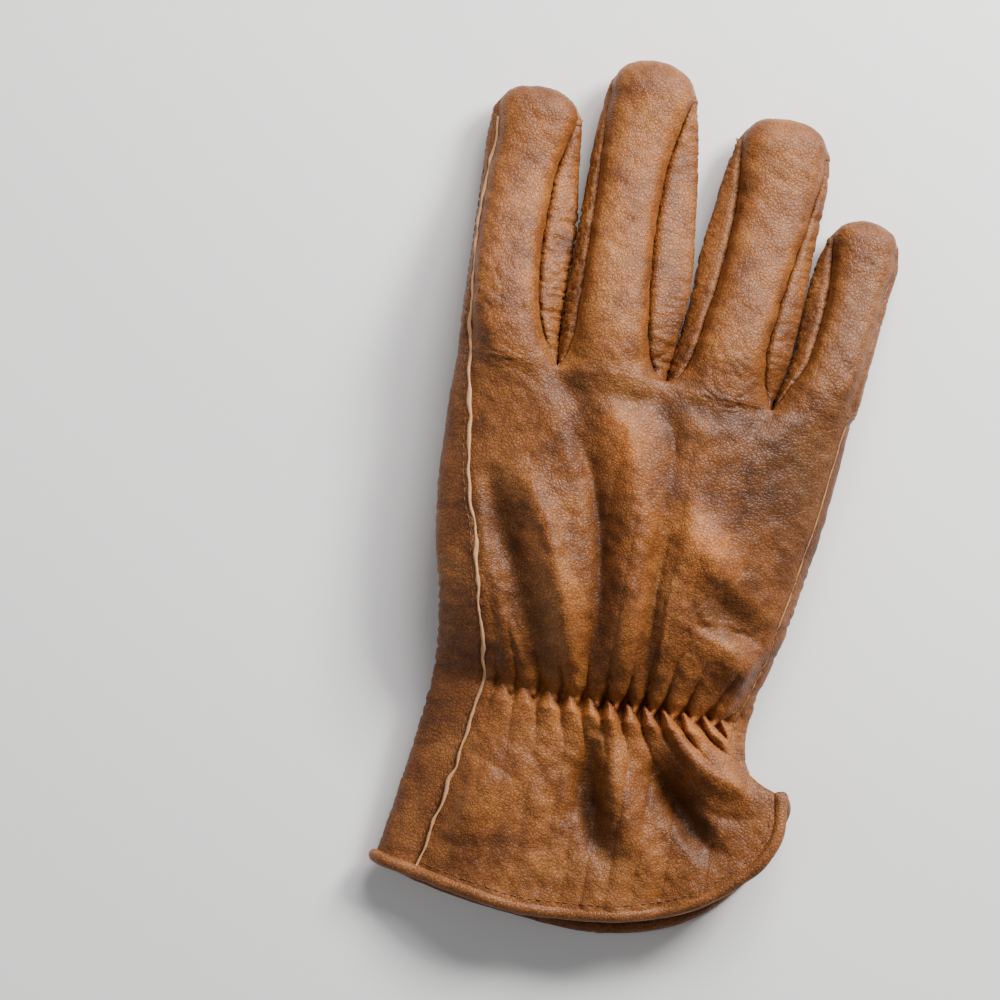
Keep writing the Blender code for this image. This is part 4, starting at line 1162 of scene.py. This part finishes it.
def leather(name, colours, rough, toned=True):
    """Mottled grain leather: blotches, cells with dark creases between them, and pores."""
    material, nodes, links, shader = new_material(name)
    place = nodes.new("ShaderNodeTexCoord").outputs["Object"]
    blotches = noise(nodes, links, place, 48, 6, 0.62)
    colour = ramp(nodes, links, blotches, tuple(zip((0.28, 0.50, 0.74), colours)))
    clouds = ramp(nodes, links, noise(nodes, links, place, 190, 5, 0.65), ((0.32, 0.72), (0.62, 1.10)))
    colour = blended(nodes, links, "MULTIPLY", 0.7, colour, clouds)
    bend = nodes.new("ShaderNodeVectorMath")
    bend.operation = "MULTIPLY_ADD"
    wobble = nodes.new("ShaderNodeTexNoise")
    wobble.inputs["Scale"].default_value = 420
    links.new(place, wobble.inputs["Vector"])
    links.new(wobble.outputs["Color"], bend.inputs[0])
    bend.inputs[1].default_value = (0.0014, 0.0014, 0.0014)
    links.new(place, bend.inputs[2])
    heights = []
    for scale in (GRAIN_SCALE, GRAIN_SCALE * 0.38):
        crackle = nodes.new("ShaderNodeTexVoronoi")
        crackle.feature = "DISTANCE_TO_EDGE"
        crackle.inputs["Scale"].default_value = scale
        links.new(bend.outputs["Vector"], crackle.inputs["Vector"])
        heights.append(ramp(nodes, links, crackle.outputs["Distance"], ((0.0, 0.0), (0.22, 1.0))))
    pores = noise(nodes, links, place, 1900, 3, 0.6)
    lines = ramp(nodes, links, heights[0], ((0.0, 0.50), (0.7, 1.04)))
    colour = blended(nodes, links, "MULTIPLY", 0.7, colour, lines)
    speckle = ramp(nodes, links, pores, ((0.36, 0.45), (0.60, 1.15)))
    colour = blended(nodes, links, "MULTIPLY", 0.65, colour, speckle)
    # The tone attribute multiplies in painted shade and light on the folds and patches
    if toned:
        tone = nodes.new("ShaderNodeAttribute")
        tone.attribute_name = "tone"
        colour = blended(nodes, links, "MULTIPLY", 1.0, colour, tone.outputs["Fac"])
    links.new(colour, shader.inputs["Base Color"])
    height = maths(nodes, links, "MULTIPLY", heights[0], 0.60)
    for value, share in ((heights[1], 0.15), (pores, 0.55)):
        height = maths(nodes, links, "ADD", height, maths(nodes, links, "MULTIPLY", value, share))
    bump = nodes.new("ShaderNodeBump")
    bump.inputs["Strength"].default_value = GRAIN_BUMP
    bump.inputs["Distance"].default_value = 0.0003
    shader.inputs["Specular IOR Level"].default_value = 0.32
    links.new(height, bump.inputs["Height"])
    links.new(bump.outputs["Normal"], shader.inputs["Normal"])
    gloss = ramp(nodes, links, clouds, ((0.5, rough + 0.06), (1.0, rough - 0.04)))
    links.new(gloss, shader.inputs["Roughness"])
    return material


def plain(name, colour, rough, spread=0.0, scale=600):
    """A plain matt surface, with some spread of its tone."""
    material, nodes, links, shader = new_material(name)
    shader.inputs["Roughness"].default_value = rough
    place = nodes.new("ShaderNodeTexCoord").outputs["Object"]
    tone = noise(nodes, links, place, scale, 4, 0.6)
    tone = ramp(nodes, links, tone, ((0.3, 1 - spread), (0.7, 1.0)))
    links.new(blended(nodes, links, "MULTIPLY", 1.0, colour, tone), shader.inputs["Base Color"])
    return material


# Dark, middle and light tone of each leather
BACK_TONES = ((0.095, 0.026, 0.0050), (0.225, 0.073, 0.0145), (0.32, 0.122, 0.030))
PALM_TONES = ((0.088, 0.024, 0.0045), (0.200, 0.064, 0.0130), (0.29, 0.108, 0.027))
FINGER_TONES = ((0.088, 0.024, 0.0045), (0.212, 0.069, 0.0140), (0.30, 0.113, 0.028))
BINDING_TONES = ((0.092, 0.026, 0.0050), (0.22, 0.072, 0.0150), (0.31, 0.118, 0.030))

BACK = leather("back_leather", BACK_TONES, 0.50)
WELT = leather("welt_leather", PALM_TONES, 0.52, toned=False)
PALM = leather("palm_leather", PALM_TONES, 0.52)
STRIP = leather("fourchette_leather", FINGER_TONES, 0.50)
THUMB = leather("thumb_leather", FINGER_TONES, 0.52)
BIND = leather("binding_leather", BINDING_TONES, 0.48, toned=False)
RAW = plain("raw_edge", (0.55, 0.30, 0.15), 0.8, 0.35, 1400)
FLESH = plain("flesh_side", (0.40, 0.22, 0.11), 0.9, 0.3, 900)
THREAD = plain("thread", (0.15, 0.055, 0.018), 0.6, 0.2, 3000)

back = leather_piece(
    "back_panel", back_skin, False, back_detail, BACK, coarse=COARSE, base_smoothing=60
)
palm = leather_piece(
    "palm_panel", palm_skin, True, side_detail, PALM, base_smoothing=40
)
for name in ("middle", "ring"):
    grow = partial(front_skin, name)
    leather_piece(name + "_front", grow, True, plain_detail, PALM)
for left, right in zip(NAMES[:-1], NAMES[1:]):
    grow = partial(strip_skin, left, right)
    node = f"fourchette_{left}_{right}"
    leather_piece(node, grow, True, strip_detail, STRIP)
for face in ("outer", "inner"):
    grow = partial(thumb_skin, face)
    leather_piece("thumb_" + face, grow, face == "outer", plain_detail, THUMB)


def hem_path():
    """The middle of the bead, along the back's hem and back along the palm's."""
    back_line = np.array(hem_point(BACK_HEM, np.linspace(0, 1, HEM_POINTS))).T
    palm_line = np.array(hem_point(PALM_HEM, np.linspace(1, 0, HEM_POINTS)[1:-1])).T
    return np.vstack([back_line, palm_line])


# The binding, a little thinner at its joint on the back and at the one on the palm
path = hem_path()
joint_x = np.repeat([-15 * MM, 10 * MM], [HEM_POINTS, len(path) - HEM_POINTS])
joints = np.exp(-(((path[:, 0] - joint_x) / (0.45 * MM)) ** 2))
girth = HEM_BEAD / 2 * (1.04 - 0.16 * joints + 0.02 * random_waves(path[:, 0], path[:, 1], 7 * MM, 51))
binding = tube("seen_cuff_binding", path, (girth, 0.94 * girth), [BIND], closed=True, corners=18)
dressed(binding, "cuff_binding")


def thumb_seam():
    """The raw edge's wavy path, up the hand's left seam and the index finger's."""
    hand = back_points()[:, 0]
    finger = finger_grid(finger_back, "index", BACK_COLUMNS)[: FINGER_ROWS - 2, 0]
    line = evenly(np.vstack([hand, finger]), 0.8 * MM)
    wander = random_waves(line[:, 1], 0 * line[:, 1], 9 * MM, 41)
    line[:, 0] += 0.22 * MM * wander
    line[:, 2] += 0.15 * MM
    return line


seam = thumb_seam()
wide = 0.5 * MM * (1 + 0.25 * random_waves(seam[:, 1], 0 * seam[:, 1], 5 * MM, 42))
wide = np.clip(wide, 0.3 * MM, 0.8 * MM)
raw = tube("seen_thumb_side_welt", seam, (wide, 0.55 * MM), [RAW], corners=8)
dressed(raw, "thumb_side_welt")

# The welt spans the middle and ring fingers, the middle half of the four
flat = np.linspace(1 / 4 + 0.004, 3 / 4 - 0.004, 120)
welt_path = np.array(four_bases(finger_front, flat)).T - (0, 0, 0.2 * MM)
half_welt = (BASE_WELT / 2, BASE_WELT / 2)
welt = tube("seen_finger_base_welt", welt_path, half_welt, [WELT], corners=10)
dressed(welt, "finger_base_welt")


def laid_on(piece, path):
    """A path in plan, dropped onto a piece from above."""
    corners = np.zeros(len(piece.data.vertices) * 3)
    piece.data.vertices.foreach_get("co", corners)
    faces = [p.vertices[:] for p in piece.data.polygons]
    tree = BVHTree.FromPolygons(corners.reshape(-1, 3).tolist(), faces)
    laid = []
    for x, y in path:
        hit = tree.ray_cast(Vector((x + ORIGIN[0], y + ORIGIN[1], 0.1)), Vector((0, 0, -1)))[0]
        if hit is not None:
            laid.append((x, y, hit.z))
    return np.array(laid)


hem_in_plan = np.array(hem_point(BACK_HEM, np.linspace(0.004, 0.985, 300))).T[:, :2]
along = np.gradient(hem_in_plan, axis=0)
inward = np.stack([-along[:, 1], along[:, 0]], 1) / np.linalg.norm(along, axis=1, keepdims=True)
hem_stitches = laid_on(back, hem_in_plan + inward * 3.1 * MM)
seam_stitches = laid_on(palm, (seam[6:-20] - (1.6 * MM, 0, 0))[:, :2])
stitch = stitches("stitches", [hem_stitches, seam_stitches], 2.6 * MM, 0.17 * MM, THREAD)
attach(stitch, "root")

# Floor, lights and camera
bpy.ops.mesh.primitive_plane_add(size=6)
floor = bpy.context.object
floor.name = "floor"
floor.data.materials.append(plain("floor_paper", (0.88, 0.88, 0.88), 0.9))

world = bpy.data.worlds.new("studio")
world.use_nodes = True
world.node_tree.nodes["Background"].inputs["Color"].default_value = (1.0, 0.99, 0.97, 1)
world.node_tree.nodes["Background"].inputs["Strength"].default_value = 0.16
bpy.context.scene.world = world


def lamp(name, place, aim, size, power, colour=(1, 1, 1)):
    data = bpy.data.lights.new(name, "AREA")
    data.size = size
    data.energy = power
    data.color = colour
    light = bpy.data.objects.new(name, data)
    light.location = place
    light.rotation_euler = (Vector(aim) - Vector(place)).to_track_quat("-Z", "Y").to_euler()
    bpy.context.scene.collection.objects.link(light)


lamp("key", (0.50, 0.62, 0.55), (0, 0, 0), 0.30, 18, (1, 0.98, 0.95))
lamp("sheen", (0.10, 0.80, 0.62), (0, 0.03, 0), 0.45, 11, (1, 0.96, 0.95))
lamp("fill", (-0.7, -0.3, 0.9), (0, 0, 0), 0.9, 2.5, (0.95, 0.97, 1))

# Camera straight above the glove: its turn, its height over the back and the width that it sees there
ROLL = math.radians(10)
DISTANCE = 1.5
WIDE = 0.295
data = bpy.data.cameras.new("camera")
data.sensor_width = 36
data.lens = data.sensor_width * DISTANCE / WIDE
camera = bpy.data.objects.new("camera", data)
camera.location = (-0.01564, -0.01277, DISTANCE + 0.018)
camera.rotation_euler = (0, 0, ROLL)
bpy.context.scene.collection.objects.link(camera)
bpy.context.scene.camera = camera
